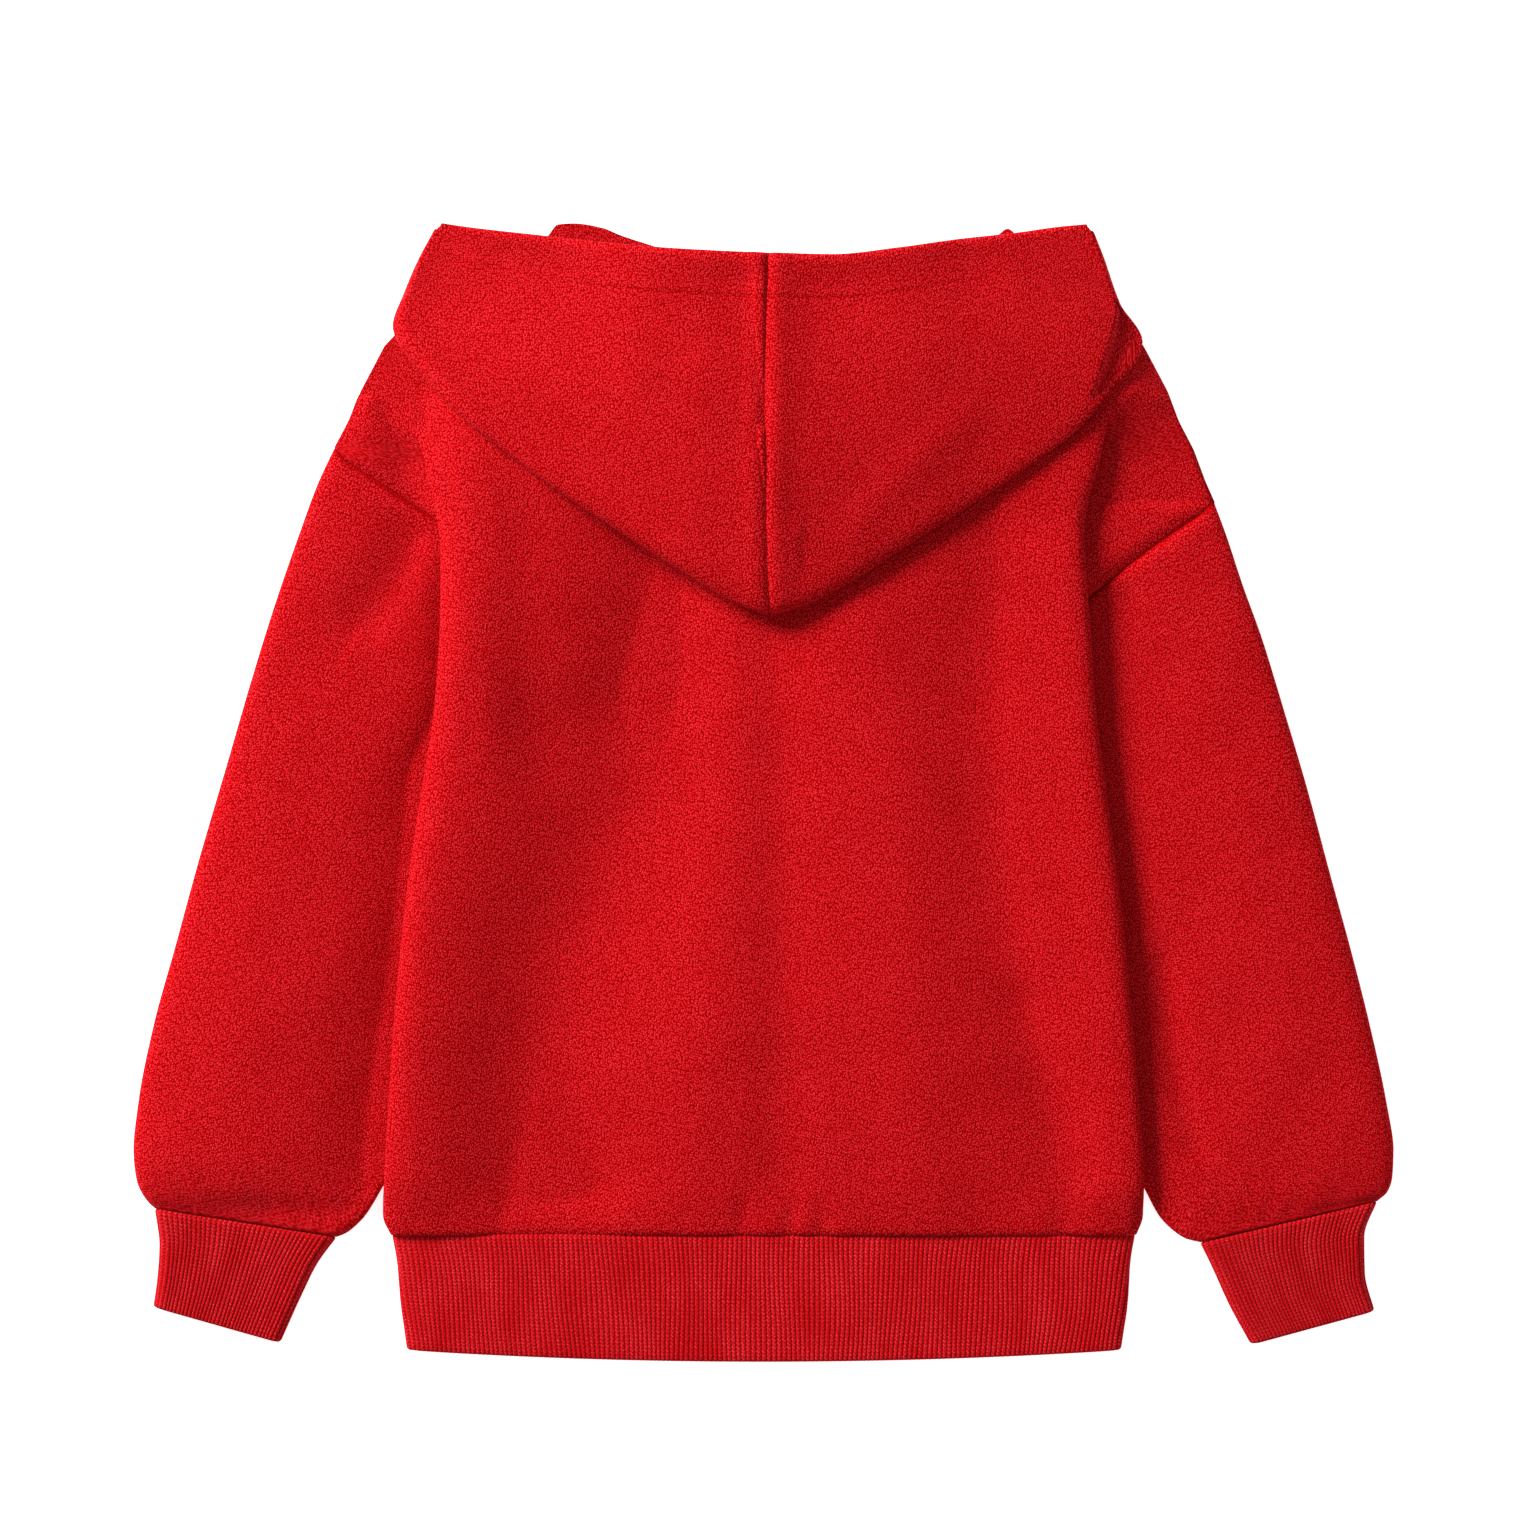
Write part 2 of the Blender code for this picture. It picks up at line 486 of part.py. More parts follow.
def hood_column(side, k):
    """Rows of one column: upper layer, turn, lower layer, shoulder, throat."""
    tab = HOOD_COLUMNS[side]
    last = len(tab["x"]) - 1
    rx = side * tab["x"][k]
    if k == 0:
        rx = float(look(HOOD_SEAM, "y", "x", 241)) + side * GAP
    rim = np.array([rx, float(look(HOOD_RIM, "x", "y", rx))])
    edge = edge_point(side, tab["q"][k])
    if k == 0:
        edge[0] = float(look(HOOD_SEAM, "y", "x", edge[1])) + side * 1.5 * GAP
    line = edge - rim
    length = np.hypot(*line)
    along = line / length
    turn = min(5.5, .42 * length)

    def at(dist):
        p = rim + along * dist
        if k == 0:
            p = np.array([float(look(HOOD_SEAM, "y", "x", p[1])) + side * 1.5 * GAP, p[1]])
        return p

    def place(dist, height):
        p = at(dist)
        return (p[0], p[1], float(height(p[0], p[1])))

    upper = [place(f * (length - turn), upper_layer)
             for f in (0, .07, .18, .32, .48, .64, .78, .90, 1.0)]
    low_at = length - turn
    turn_low = place(low_at, under_layer)
    tip = at(length + .25)
    mid = (tip[0], tip[1], .5 * (upper[-1][2] + turn_low[2]))
    # where the column crosses the shoulder line, or the back neckline
    dist = np.linspace(0, low_at, 200)
    pts = np.array([at(d) for d in dist])
    e = beyond_shoulder(pts[:, 0], pts[:, 1])
    if k < NECK_COLUMN:
        neck = top_line(pts[:, 0], NECK_BACK_Y)
        stop = dist[int(np.argmax(pts[:, 1] < neck))]
        lower = [turn_low] + [place(low_at + (stop - 1.2 - low_at) * f, under_layer)
                              for f in (.14, .3, .5, .7, .86, .94)]
        p = at(stop - 3.6)
        z = float(under_layer(*at(stop)))
        lower += [(p[0], p[1], z - .9), (p[0], p[1], z - 2.6)]
        body = spline(upper + [mid] + lower)
        f0 = at(0)
        fx = f0[0] if k else rx
        start = NECK_FRONT_Y + (NECK_SIDE_Y - NECK_FRONT_Y) * (fx / NECK_W) ** 2 + GAP
        end = float(look(THROAT_RIM, "x", "y", fx))
        throat = [(fx, start + (end - start) * f, FLOOR) for f in (0, .3, .62, .86, 1.0)]
        return body, None, np.array(throat)
    cross = dist[int(np.argmin(np.abs(e - 6.5)))] if e.min() < 6.5 else .82 * low_at
    span = min(4.5, .2 * low_at)
    c_low, c_high = cross + span, cross - span
    lower = [turn_low] + [place(low_at + (c_low - low_at) * f, under_layer)
                          for f in (.12, .28, .46, .64, .82, .92, 1.0, 1.0)]
    lower[-1] = place(c_low - .5 * span, under_layer)
    crossing = [place(cross, under_layer), place(cross - .5 * span, under_layer)]
    end = np.array([rim[0], float(look(THROAT_RIM, "x", "y", rim[0]))])
    start = at(c_high)
    if end[1] - start[1] < 1.5:
        start = end + (start - end) * 1.0
    throat = []
    for f in (0, .3, .62, .86, 1.0):
        p = start + (end - start) * f
        throat.append((p[0], p[1], float(under_layer(p[0], p[1]))))
    whole = spline(upper + [mid] + lower + crossing + throat)
    nb = len(upper) + 1 + len(lower)
    return whole[:nb], whole[nb:nb + 2], whole[nb + 2:]


def hood_half(side):
    verts, faces = [], []
    cols = []
    n = len(HOOD_COLUMNS[side]["x"])
    for k in range(n):
        body, cross, throat = hood_column(side, k)
        ids = {}
        for name, part in (("body", body), ("cross", cross), ("throat", throat)):
            if part is None:
                ids[name] = None
                continue
            ids[name] = list(range(len(verts), len(verts) + len(part)))
            verts.extend(map(tuple, part))
        cols.append(ids)
    for a, b in zip(cols[:-1], cols[1:]):
        full = a["cross"] is not None and b["cross"] is not None
        if full:
            ca = a["body"] + a["cross"] + a["throat"]
            cb = b["body"] + b["cross"] + b["throat"]
            strips = [(ca, cb)]
        else:
            strips = [(a["body"], b["body"]), (a["throat"], b["throat"])]
        for ca, cb in strips:
            for i in range(len(ca) - 1):
                quad = (ca[i], cb[i], cb[i + 1], ca[i + 1])
                faces.append(quad if side > 0 else quad[::-1])
    return verts, faces


# ---------------------------------------------------------------- making
def grid_faces(rows, cols, around=False):
    faces = []
    for r in range(rows - 1):
        for c in range(cols - (0 if around else 1)):
            d = (c + 1) % cols
            faces.append((r * cols + c, r * cols + d, (r + 1) * cols + d, (r + 1) * cols + c))
    return faces


def material(name):
    m = bpy.data.materials.get(name) or bpy.data.materials.new(name)
    m.use_nodes = True
    bsdf = m.node_tree.nodes["Principled BSDF"]
    bsdf.inputs["Base Color"].default_value = (*COLOURS[name.split("_")[0]], 1)
    bsdf.inputs["Roughness"].default_value = .9
    bsdf.inputs["Metallic"].default_value = 0
    return m


def shell(name, verts, faces, wall, finish):
    """A middle surface given its wall thickness, half to each side."""
    mesh = bpy.data.meshes.new(name)
    mesh.from_pydata([(x * MM, y * MM, z * MM) for x, y, z in verts], [], faces)
    mesh.validate()
    mesh.materials.append(material(finish + "_" + name))
    obj = bpy.data.objects.new(name, mesh)
    garment.objects.link(obj)
    mod = obj.modifiers.new("wall", "SOLIDIFY")
    mod.thickness = wall * MM
    mod.offset = 0
    mod.use_rim = True
    mesh.shade_smooth()
    return obj


def shell_grid(name, grid, wall, finish, around=False):
    rows, cols = grid.shape[:2]
    return shell(name, grid.reshape(-1, 3), grid_faces(rows, cols, around), wall, finish)


for old in list(bpy.data.objects):
    bpy.data.objects.remove(old, do_unlink=True)
garment = bpy.data.collections.new("kids_hoodie")
bpy.context.scene.collection.children.link(garment)

shell_grid("back_panel", back_grid(), CLOTH, "fleece")
shell_grid("front_panel", front_grid(), CLOTH, "fleece")
for side, word in ((-1, "left"), (1, "right")):
    count = len(SLEEVE[side]["ox"])
    rings = np.array([sleeve_ring(side, k) for k in range(count)])
    shell_grid("sleeve_" + word, rings, CLOTH, "fleece", around=True)
    cuff = CUFF[side]
    rings = np.array([rib_ring((side * cuff["ox"][k], cuff["oy"][k]),
                               (side * cuff["ix"][k], cuff["iy"][k])) for k in range(4)])
    shell_grid("cuff_" + word, rings, RIB, "rib", around=True)
    verts, faces = hood_half(side)
    shell("hood_" + word, verts, faces, CLOTH, "fleece")
rings = np.array([rib_ring((-HEM["left"][k], HEM["y"][k]), (HEM["right"][k], HEM["y"][k]),
                           HEM["bow"][k]) for k in range(4)])
shell_grid("hem_rib", rings, RIB, "rib", around=True)
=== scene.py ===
"""A child's plain red pullover hoodie laid flat, face down, hood folded over the back.

Frame: metres, +Z up from the surface, +Y towards the neck, +X towards the wearer's
right sleeve. Tables are in millimetres. Every sewn piece is a thin sheet of cloth:
a middle surface swept from its tables, creased by listed folds, with a wall.
"""

import math

import bpy
import numpy as np
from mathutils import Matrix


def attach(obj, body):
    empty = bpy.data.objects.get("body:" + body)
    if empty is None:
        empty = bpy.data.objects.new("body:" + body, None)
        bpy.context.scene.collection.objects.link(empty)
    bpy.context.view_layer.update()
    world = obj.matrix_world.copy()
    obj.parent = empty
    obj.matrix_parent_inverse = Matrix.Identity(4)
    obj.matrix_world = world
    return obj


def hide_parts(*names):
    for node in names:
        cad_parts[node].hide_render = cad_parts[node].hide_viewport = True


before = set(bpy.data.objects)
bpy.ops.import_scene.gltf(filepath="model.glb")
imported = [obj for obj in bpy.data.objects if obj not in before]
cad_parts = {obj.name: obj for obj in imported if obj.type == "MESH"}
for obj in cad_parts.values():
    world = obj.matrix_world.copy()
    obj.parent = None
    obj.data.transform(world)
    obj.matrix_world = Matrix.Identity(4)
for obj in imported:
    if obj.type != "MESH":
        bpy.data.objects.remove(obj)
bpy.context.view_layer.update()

# ---------------------------------------------------------------- dimensions
MM = 0.001
CLOTH = 2.2
RIB = 3.0
GAP = 0.3
SEAM_GAP = 0.06       # pieces as sewn: half the space left at a seam
FLOOR = CLOTH / 2
RIB_FLOOR = RIB / 2
RIB_TOP = 6.5
CREST = 14.5
EDGE_Z = FLOOR + CLOTH + GAP
SEAM_Y = -199.6
LAP = CLOTH + 1.0
HOOD_GAP = 7.0
NECK_W = 90.0
NECK_BACK_Y = 225.0
NECK_FRONT_Y = 172.0
NECK_SIDE_Y = 234.0
SKIN = 1.8             # wall given to the sheets that are drawn
CASING = 18.9          # depth of the hood's turned-in hem
WALE = 2.24            # rib wale pitch across the hem
WALE_CUFF = 1.85       # rib wale pitch round a cuff


def table(names, *rows):
    cols = names.split()
    return {c: np.array([r[i] for r in rows], float) for i, c in enumerate(cols)}


BODY_L = table("y lip open tuck roll flat",
               (-199.3, 168.0, 0, 0, 0, 1), (-191.0, 171.2, 0, 0, 0, 1),
               (-176.0, 170.4, 0, 0, 1, 0), (-138.0, 168.1, 0, 0, 1, 0),
               (-94.0, 164.9, 0, 0, 1, 0), (-46.0, 160.0, 0, 0, 1, 0),
               (3.0, 152.9, 0, 0, 1, 0), (41.0, 147.2, 0, 0, 1, 0),
               (86.0, 144.7, 0, 0, 1, 0), (108.0, 144.7, 0, 0, 1, 0),
               (117.0, 145.4, 0, 1, 0, 0), (124.0, 146.6, 0, 1, 0, 0),
               (134.0, 148.8, 0, 1, 0, 0), (150.0, 152.8, .25, .75, 0, 0),
               (165.0, 157.0, .7, .3, 0, 0), (178.0, 161.5, 1, 0, 0, 0),
               (201.2, 168.0, 1, 0, 0, 0))
BODY_R = table("y lip open tuck roll flat",
               (-199.3, 168.0, 0, 0, 0, 1), (-191.0, 170.7, 0, 0, 0, 1),
               (-176.0, 170.8, 0, 0, 1, 0), (-138.0, 168.4, 0, 0, 1, 0),
               (-94.0, 164.5, 0, 0, 1, 0), (-46.0, 159.8, 0, 0, 1, 0),
               (3.0, 153.3, 0, 0, 1, 0), (41.0, 148.6, 0, 0, 1, 0),
               (71.6, 146.6, 0, 0, 1, 0), (80.6, 145.9, 0, 1, 0, 0),
               (90.0, 145.2, 0, 1, 0, 0), (115.0, 143.8, 0, 1, 0, 0),
               (130.0, 145.3, 0, 1, 0, 0), (150.0, 151.0, .1, .9, 0, 0),
               (166.0, 154.5, .5, .5, 0, 0), (182.0, 158.5, 1, 0, 0, 0),
               (201.2, 166.0, 1, 0, 0, 0))
FOLD_SHAPE = {
    "tuck": table("d top z", (14, 1, 0), (1.5, 1, 0), (-.85, .5, 4.7), (5, 0, 9.4),
                  (12, 0, 9.2), (16, 0, 7.3), (12, 0, 5.3)),
    "roll": table("d top z", (14, 1, 0), (1.5, 1, 0), (-.85, .5, 4.4), (5.5, 0, 8.9),
                  (13.5, 0, 7.6), (16.5, 0, 3.6), (19.5, 0, 1.1)),
    "flat": table("d top z", (14, 1, 0), (1.5, 1, 0), (-.85, .5, .55), (5, 0, 1.1),
                  (10, 0, 1.1), (15, 0, 1.1), (19.5, 0, 1.1)),
}
OPEN_SHARE = (0, .13, .25, .36, .47, .58, .69)
SIDE_SEAM_D = 25.0
BACK_HEIGHT = table("y z", (-199.6, 7.6), (-198.7, 8.7), (-197, 9.3), (-192, 9.9), (-175, 11.2),
                    (-140, 13.4), (-100, CREST), (0, CREST), (120, CREST), (180, 13.0), (225, 9.6),
                    (245, 8.6))
SHOULDER = table("x y", (0, 236), (60, 236), (90, 234.6), (120, 230), (150, 218.5),
                 (171.4, 201.2), (182, 181), (187.4, 167.4), (194.3, 154.5),
                 (199.5, 140.5), (204.3, 129.5), (213, 105))
ARM = {-1: dict(outer=(-194.5, 154.5), inner=(-137.0, 117.0), bow=-0.8),
       +1: dict(outer=(204.2, 130.0), inner=(138.0, 80.6), bow=2.0)}
SLEEVE_COLS = "ox oy ix iy z0 z1 z2 z3 z4"
# heights of the sleeve's upper wall along it, row by row of the table below
WALL_COLS = "k z0 z1 z2 z3 z4"
WALL = {
    -1: table(WALL_COLS, (0, 6.4, 6.6, 6.4, 5.4, 5.0), (2, 7.6, 7.9, 7.6, 6.2, 4.9),
              (4, 8.6, 9.1, 9.3, 8.8, 4.7), (6, 9.8, 11.0, 11.6, 10.4, 4.4),
              (7, 10.4, 12.0, 13.2, 11.0, 4.3), (8, 10.8, 12.7, 14.1, 10.0, 4.3),
              (10, 10.4, 12.4, 13.5, 8.8, 4.4), (11, 9.2, 10.8, 11.6, 8.4, 5.0), (12, 8.0, 8.4, 7.8, 6.6, 6.0),
              (13, 6.7, 6.8, 6.7, 6.6, 6.5), (14, 6.5, 6.5, 6.5, 6.5, 6.5)),
    +1: table(WALL_COLS, (0, 6.4, 6.7, 6.6, 5.6, 5.0), (2, 7.8, 8.1, 7.9, 6.0, 4.9),
              (4, 9.0, 9.4, 9.3, 6.6, 4.9), (6, 9.9, 10.4, 10.2, 7.2, 4.9),
              (8, 10.7, 11.2, 10.9, 7.8, 5.0), (10, 10.3, 11.0, 10.7, 8.0, 5.3),
              (11, 9.3, 10.0, 9.8, 7.9, 5.7), (12, 7.9, 8.4, 8.2, 7.3, 6.2),
              (13, 6.7, 6.8, 6.8, 6.6, 6.5), (14, 6.5, 6.5, 6.5, 6.5, 6.5)),
}
SLEEVE = {
    -1: table(SLEEVE_COLS,
              (194.5, 154.5, 137.0, 117.0, 6.4, 7.1, 7.3, 6.3, 5.0),
              (202.0, 138.0, 136.8, 104.0, 7.2, 8.0, 8.0, 6.4, 5.0),
              (210.0, 116.0, 136.7, 86.0, 8.4, 9.4, 8.8, 6.6, 5.0),
              (221.0, 84.0, 137.8, 58.0, 9.6, 11.0, 9.8, 6.9, 5.0),
              (231.5, 50.0, 141.0, 28.0, 10.4, 12.4, 10.8, 7.1, 5.0),
              (242.8, 11.0, 147.0, -8.0, 11.2, 13.4, 11.6, 7.4, 5.0),
              (254.8, -30.0, 152.2, -44.0, 12.2, 14.6, 12.6, 7.7, 5.0),
              (265.7, -70.0, 155.9, -80.0, 13.2, 15.8, 13.6, 8.1, 5.0),
              (275.3, -105.0, 158.8, -112.0, 14.0, 16.8, 14.4, 8.6, 5.2),
              (282.0, -138.0, 161.8, -142.0, 13.8, 16.8, 14.6, 9.2, 5.4),
              (284.5, -161.0, 165.6, -165.0, 12.6, 15.6, 14.0, 9.6, 5.8),
              (283.2, -175.0, 173.3, -180.5, 10.8, 13.4, 12.4, 9.6, 6.2),
              (279.6, -182.8, 181.0, -192.5, 8.8, 10.2, 9.8, 8.6, 6.6),
              (277.4, -185.6, 188.6, -199.0, 6.8, 6.9, 6.8, 6.7, 6.5),
              (275.2, -187.4, 192.4, -200.4, 6.5, 6.5, 6.5, 6.5, 6.5)),
    +1: table(SLEEVE_COLS,
              (204.2, 130.0, 138.0, 80.6, 6.4, 7.0, 6.8, 5.8, 5.0),
              (209.6, 115.0, 138.6, 67.0, 7.2, 8.0, 7.4, 5.9, 5.0),
              (216.4, 94.0, 140.0, 49.0, 8.4, 9.4, 8.2, 6.0, 5.0),
              (225.3, 69.0, 141.6, 30.0, 9.6, 11.0, 9.2, 6.1, 5.0),
              (235.4, 36.0, 144.9, 6.0, 10.6, 12.6, 10.2, 6.3, 5.0),
              (246.0, 0.0, 148.9, -22.0, 11.6, 13.8, 11.0, 6.5, 5.0),
              (255.6, -36.0, 152.6, -52.0, 12.6, 15.0, 11.8, 6.7, 5.0),
              (265.4, -72.0, 155.5, -84.0, 13.4, 16.0, 12.6, 6.9, 5.0),
              (273.7, -105.0, 158.2, -114.0, 14.0, 16.8, 13.2, 7.2, 5.2),
              (280.9, -138.0, 161.6, -143.0, 13.8, 16.8, 13.6, 8.0, 5.4),
              (284.5, -161.0, 165.4, -165.0, 12.6, 15.6, 13.4, 9.0, 5.8),
              (284.0, -174.0, 172.8, -180.5, 10.8, 13.4, 12.2, 9.6, 6.2),
              (281.6, -180.6, 180.0, -193.0, 8.8, 10.2, 9.8, 8.8, 6.6),
              (279.6, -182.4, 190.6, -201.4, 6.8, 6.9, 6.8, 6.7, 6.5),
              (277.6, -184.0, 196.8, -202.8, 6.5, 6.5, 6.5, 6.5, 6.5)),
}
CUFF = {
    -1: table("ox oy ix iy", (275.0, -188.2, 193.0, -201.2), (272.9, -204.5, 202.0, -213.6),
              (273.7, -218.5, 209.2, -228.2), (275.6, -232.6, 218.4, -248.8)),
    +1: table("ox oy ix iy", (277.2, -184.9, 197.4, -203.7), (271.4, -201.0, 203.4, -216.2),
              (271.6, -217.0, 210.6, -232.0), (276.0, -234.4, 220.2, -249.6)),
}
HEM = table("y left right bow", (SEAM_Y, 168.0, 168.0, 0.0), (-213.0, 165.6, 165.8, -.8),
            (-232.0, 163.8, 164.4, -3.0), (-252.0, 161.2, 161.6, -5.2))
HOOD_RIM = table("x y", (-145.6, 255.6), (-132, 253.4), (-98.3, 249.3), (-73.6, 246.2),
                 (-37.6, 242.6), (2.9, 240.8), (29.9, 240.3), (61.4, 243.9),
                 (88.4, 248.4), (115.4, 251.6), (133.4, 254.3), (146.9, 255.6))
THROAT_RIM = table("x y", (-145.6, 253.5), (-126, 250), (-103, 247), (-98, 251), (-93, 256.7),
                   (-86, 257.2), (-73, 255.2), (-64.6, 251.8), (-50, 247), (-36, 242),
                   (0, 238), (60, 241), (98, 246.5), (105, 251), (110.5, 254.8),
                   (115, 251.5), (121, 249), (134, 252), (146.9, 253.5))
HOOD_EDGE = {
    -1: table("x y", (2.4, 78.3), (-10.6, 82.8), (-33.1, 95.4), (-64.6, 115.7),
              (-91.6, 133.7), (-118.6, 153.9), (-141.1, 171.9), (-154.6, 187.7),
              (-165.8, 203.4), (-167.2, 208.5), (-162.2, 223.7), (-154.1, 241.7),
              (-145.6, 255.6)),
    +1: table("x y", (2.4, 78.3), (16.4, 81.9), (38.9, 93.2), (61.4, 107.6),
              (88.4, 124.7), (115.4, 142.7), (142.4, 162.9), (155.9, 179.6),
              (168.5, 193.5), (171.4, 201.5), (160.9, 219.2), (152.8, 241.7),
              (146.9, 255.6)),
}
HOOD_SEAM = table("y x", (75, 2.4), (160, .9), (200, 1.0), (260, 2.9))
HOOD_COLUMNS = {
    -1: table("x q", (0, 0), (20, .10), (38, .20), (56, .30), (72, .41), (86, .52),
              (93, .60), (101, .67), (114, .75), (127, .83), (138, .91), (143.5, .975)),
    +1: table("x q", (0, 0), (22, .10), (44, .21), (63, .31), (79, .42), (90, .53),
              (100, .61), (109, .68), (116, .75), (127, .83), (139, .91), (144.5, .975)),
}
NECK_COLUMN = 5

# ---------------------------------------------------------------- folds
# name, path (downwards), half width on its -X and +X side, height
BACK_FOLDS = (
    ("lip left", ((-143, 140), (-138, 124), (-134, 97), (-131, 65), (-133, 33), (-144, -21), (-153, -75),
                  (-156, -140), (-155, -190)), 18, 33, 5.2),
    ("lip rise", ((-134, 112), (-131, 97), (-130, 64)), 22, 34, 3.2),
    ("crease by lip", ((-114, 158), (-108, 129), (-110, 97), (-109, 60), (-102, 10)), 13, 14, -1.4),
    ("valley left", ((-34, 130), (-37, 97), (-42, 65), (-50, 33), (-64, -21), (-88, -75),
                     (-102, -128), (-99, -166), (-100, -190)), 37, 44, -7.6),
    ("valley top", ((-40, 118), (-47, 90), (-55, 50)), 20, 18, -2.0),
    ("ridge mid left", ((-14, 84), (-17, 33), (-24, -75), (-28, -140), (-36, -180)), 18, 14, .9),
    ("valley mid", ((4, 76), (9, 33), (8, -75), (9, -140), (6, -185)), 13, 16, -2.0),
    ("ridge mid right", ((46, 76), (58, 33), (64, -75), (70, -140), (70, -185)), 24, 22, 2.2),
    ("valley right", ((104, 112), (98, 33), (108, -75), (126, -132), (138, -165)), 20, 14, -2.5),
    ("hollow right", ((118, -98), (127, -132), (134, -150)), 14, 12, -1.6),
    ("fall from hood", ((122, 147), (96, 126), (66, 106), (40, 91), (16, 84), (-10, 98)), 10, 38, 2.6),
    ("ridge right", ((143, 100), (146, 30), (153, -21), (158, -75), (165, -128), (166, -180)), 20, 12, 3.4),
    ("shoulder valley left", ((-163, 190), (-160, 166), (-155, 142), (-151, 122)), 15, 30, -5.6),
)
SLEEVE_FOLDS = (
    ("left crest", ((-150, 108), (-153, 90), (-149, 70)), 8, 8, .8),
    ("left diagonal", ((-153, 126), (-161, 104), (-178, 78)), 15, 10, -2.6),
    ("left inner top", ((-135, 80), (-135, 50), (-140, 10)), 15, 10, -5.0),
    ("left inner", ((-143, 0), (-150, -36), (-156, -75), (-160, -128), (-164, -165)), 28, 12, -7.4),
    ("left soft", ((-214, 30), (-232, -50), (-240, -110)), 14, 14, .5),
    ("right crest", ((196, 90), (210, 30), (222, -40), (234, -110)), 22, 22, .8),
    ("right inner", ((178, -80), (186, -130), (194, -160)), 6, 10, -1.6),
)
HOOD_FOLDS = (
    ("left streak", ((-128, 234), (-92, 214), (-56, 186)), 9, 12, 1.0),
    ("left trough", ((-112, 244), (-72, 222), (-38, 196)), 10, 8, -1.1),
    ("left low", ((-104, 190), (-66, 158), (-32, 130)), 12, 12, .7),
    ("seam hollow", ((-9, 246), (-8, 212), (-3, 165)), 26, 6, -2.2),
    ("right ridge", ((40, 116), (66, 146), (90, 168)), 9, 9, .9),
    ("right of seam", ((25, 246), (24, 196), (18, 130)), 14, 28, -2.0),
)
# how far the hood stands above its sides, seam in the middle, corners low
ROOF = table("x z", (-172, 0), (-150, 1.4), (-110, 5.0), (-80, 8.4), (-50, 11.6), (-24, 13.5),
             (0, 13.5), (26, 11.9), (50, 9.7), (77, 7.0), (100, 4.4), (130, 1.6), (172, 0))
HOOD_STEP = ((158.9, 224), (158.6, 219.6), (157.6, 211), (155.6, 203.0), (150.6, 188.0), (146.4, 177.0))


# ---------------------------------------------------------------- mathematics
def curve(xs, ys, x):
    """Smooth curve through the points that never overshoots them."""
    if xs[0] > xs[-1]:
        xs, ys = xs[::-1], ys[::-1]
    h = np.diff(xs)
    m = np.diff(ys) / h
    d = np.zeros(len(xs))
    d[0], d[-1] = m[0], m[-1]
    for i in range(1, len(xs) - 1):
        if m[i - 1] * m[i] > 0:
            w1, w2 = 2 * h[i] + h[i - 1], h[i] + 2 * h[i - 1]
            d[i] = (w1 + w2) / (w1 / m[i - 1] + w2 / m[i])
    x = np.clip(np.asarray(x, float), xs[0], xs[-1])
    i = np.clip(np.searchsorted(xs, x) - 1, 0, len(h) - 1)
    t = (x - xs[i]) / h[i]
    return (ys[i] * (1 + 2 * t) * (1 - t) ** 2 + h[i] * d[i] * t * (1 - t) ** 2
            + ys[i + 1] * t * t * (3 - 2 * t) + h[i] * d[i + 1] * t * t * (t - 1))


def look(tab, key, name, value):
    return curve(tab[key], tab[name], value)


def column(tab, name, k):
    """A table's column read between its rows."""
    return curve(np.arange(len(tab[name]), dtype=float), tab[name], k)


def smooth(a, b, x):
    t = np.clip((np.asarray(x, float) - a) / (b - a), 0, 1)
    return t * t * (3 - 2 * t)


def bspline(ctrl, counts, closed=False):
    """Uniform cubic B-spline; counts[i] samples in span i, and the end point."""
    p = np.asarray(ctrl, float)
    if closed:
        ext = np.concatenate([p[-1:], p, p[:2]])
        spans = len(p)
    else:
        ext = np.concatenate([2 * p[:1] - p[1:2], p, 2 * p[-1:] - p[-2:-1]])
        spans = len(p) - 1
    idx = np.concatenate([np.full(counts[i], i) for i in range(spans)])
    t = np.concatenate([np.arange(counts[i]) / counts[i] for i in range(spans)])[:, None]
    out = ((1 - t) ** 3 * ext[idx] + (3 * t ** 3 - 6 * t ** 2 + 4) * ext[idx + 1]
           + (-3 * t ** 3 + 3 * t ** 2 + 3 * t + 1) * ext[idx + 2] + t ** 3 * ext[idx + 3]) / 6
    return out if closed else np.concatenate([out, p[-1:]])


def path_distance(pts, x, y):
    """Distance to a polyline in plan, signed to its left, and the share there."""
    p = np.asarray(pts, float)
    length = np.concatenate([[0], np.cumsum(np.hypot(*np.diff(p, axis=0).T))])
    best = np.full(np.shape(x), 1e9)
    share = np.zeros(np.shape(x))
    sign = np.ones(np.shape(x))
    for i in range(len(p) - 1):
        a, b = p[i], p[i + 1]
        ab = b - a
        t = np.clip(((x - a[0]) * ab[0] + (y - a[1]) * ab[1]) / (ab @ ab), 0, 1)
        dx, dy = x - a[0] - t * ab[0], y - a[1] - t * ab[1]
        d = np.hypot(dx, dy)
        near = d < best
        best = np.where(near, d, best)
        share = np.where(near, (length[i] + t * (length[i + 1] - length[i])) / length[-1], share)
        sign = np.where(near, np.where(ab[0] * dy - ab[1] * dx >= 0, 1.0, -1.0), sign)
    return best, share, sign


def rounded(pts):
    """A path's corners rounded, so that a fold along it bends softly."""
    p = np.asarray(pts, float)
    return bspline(p, [4] * (len(p) - 1)) if len(p) > 2 else p


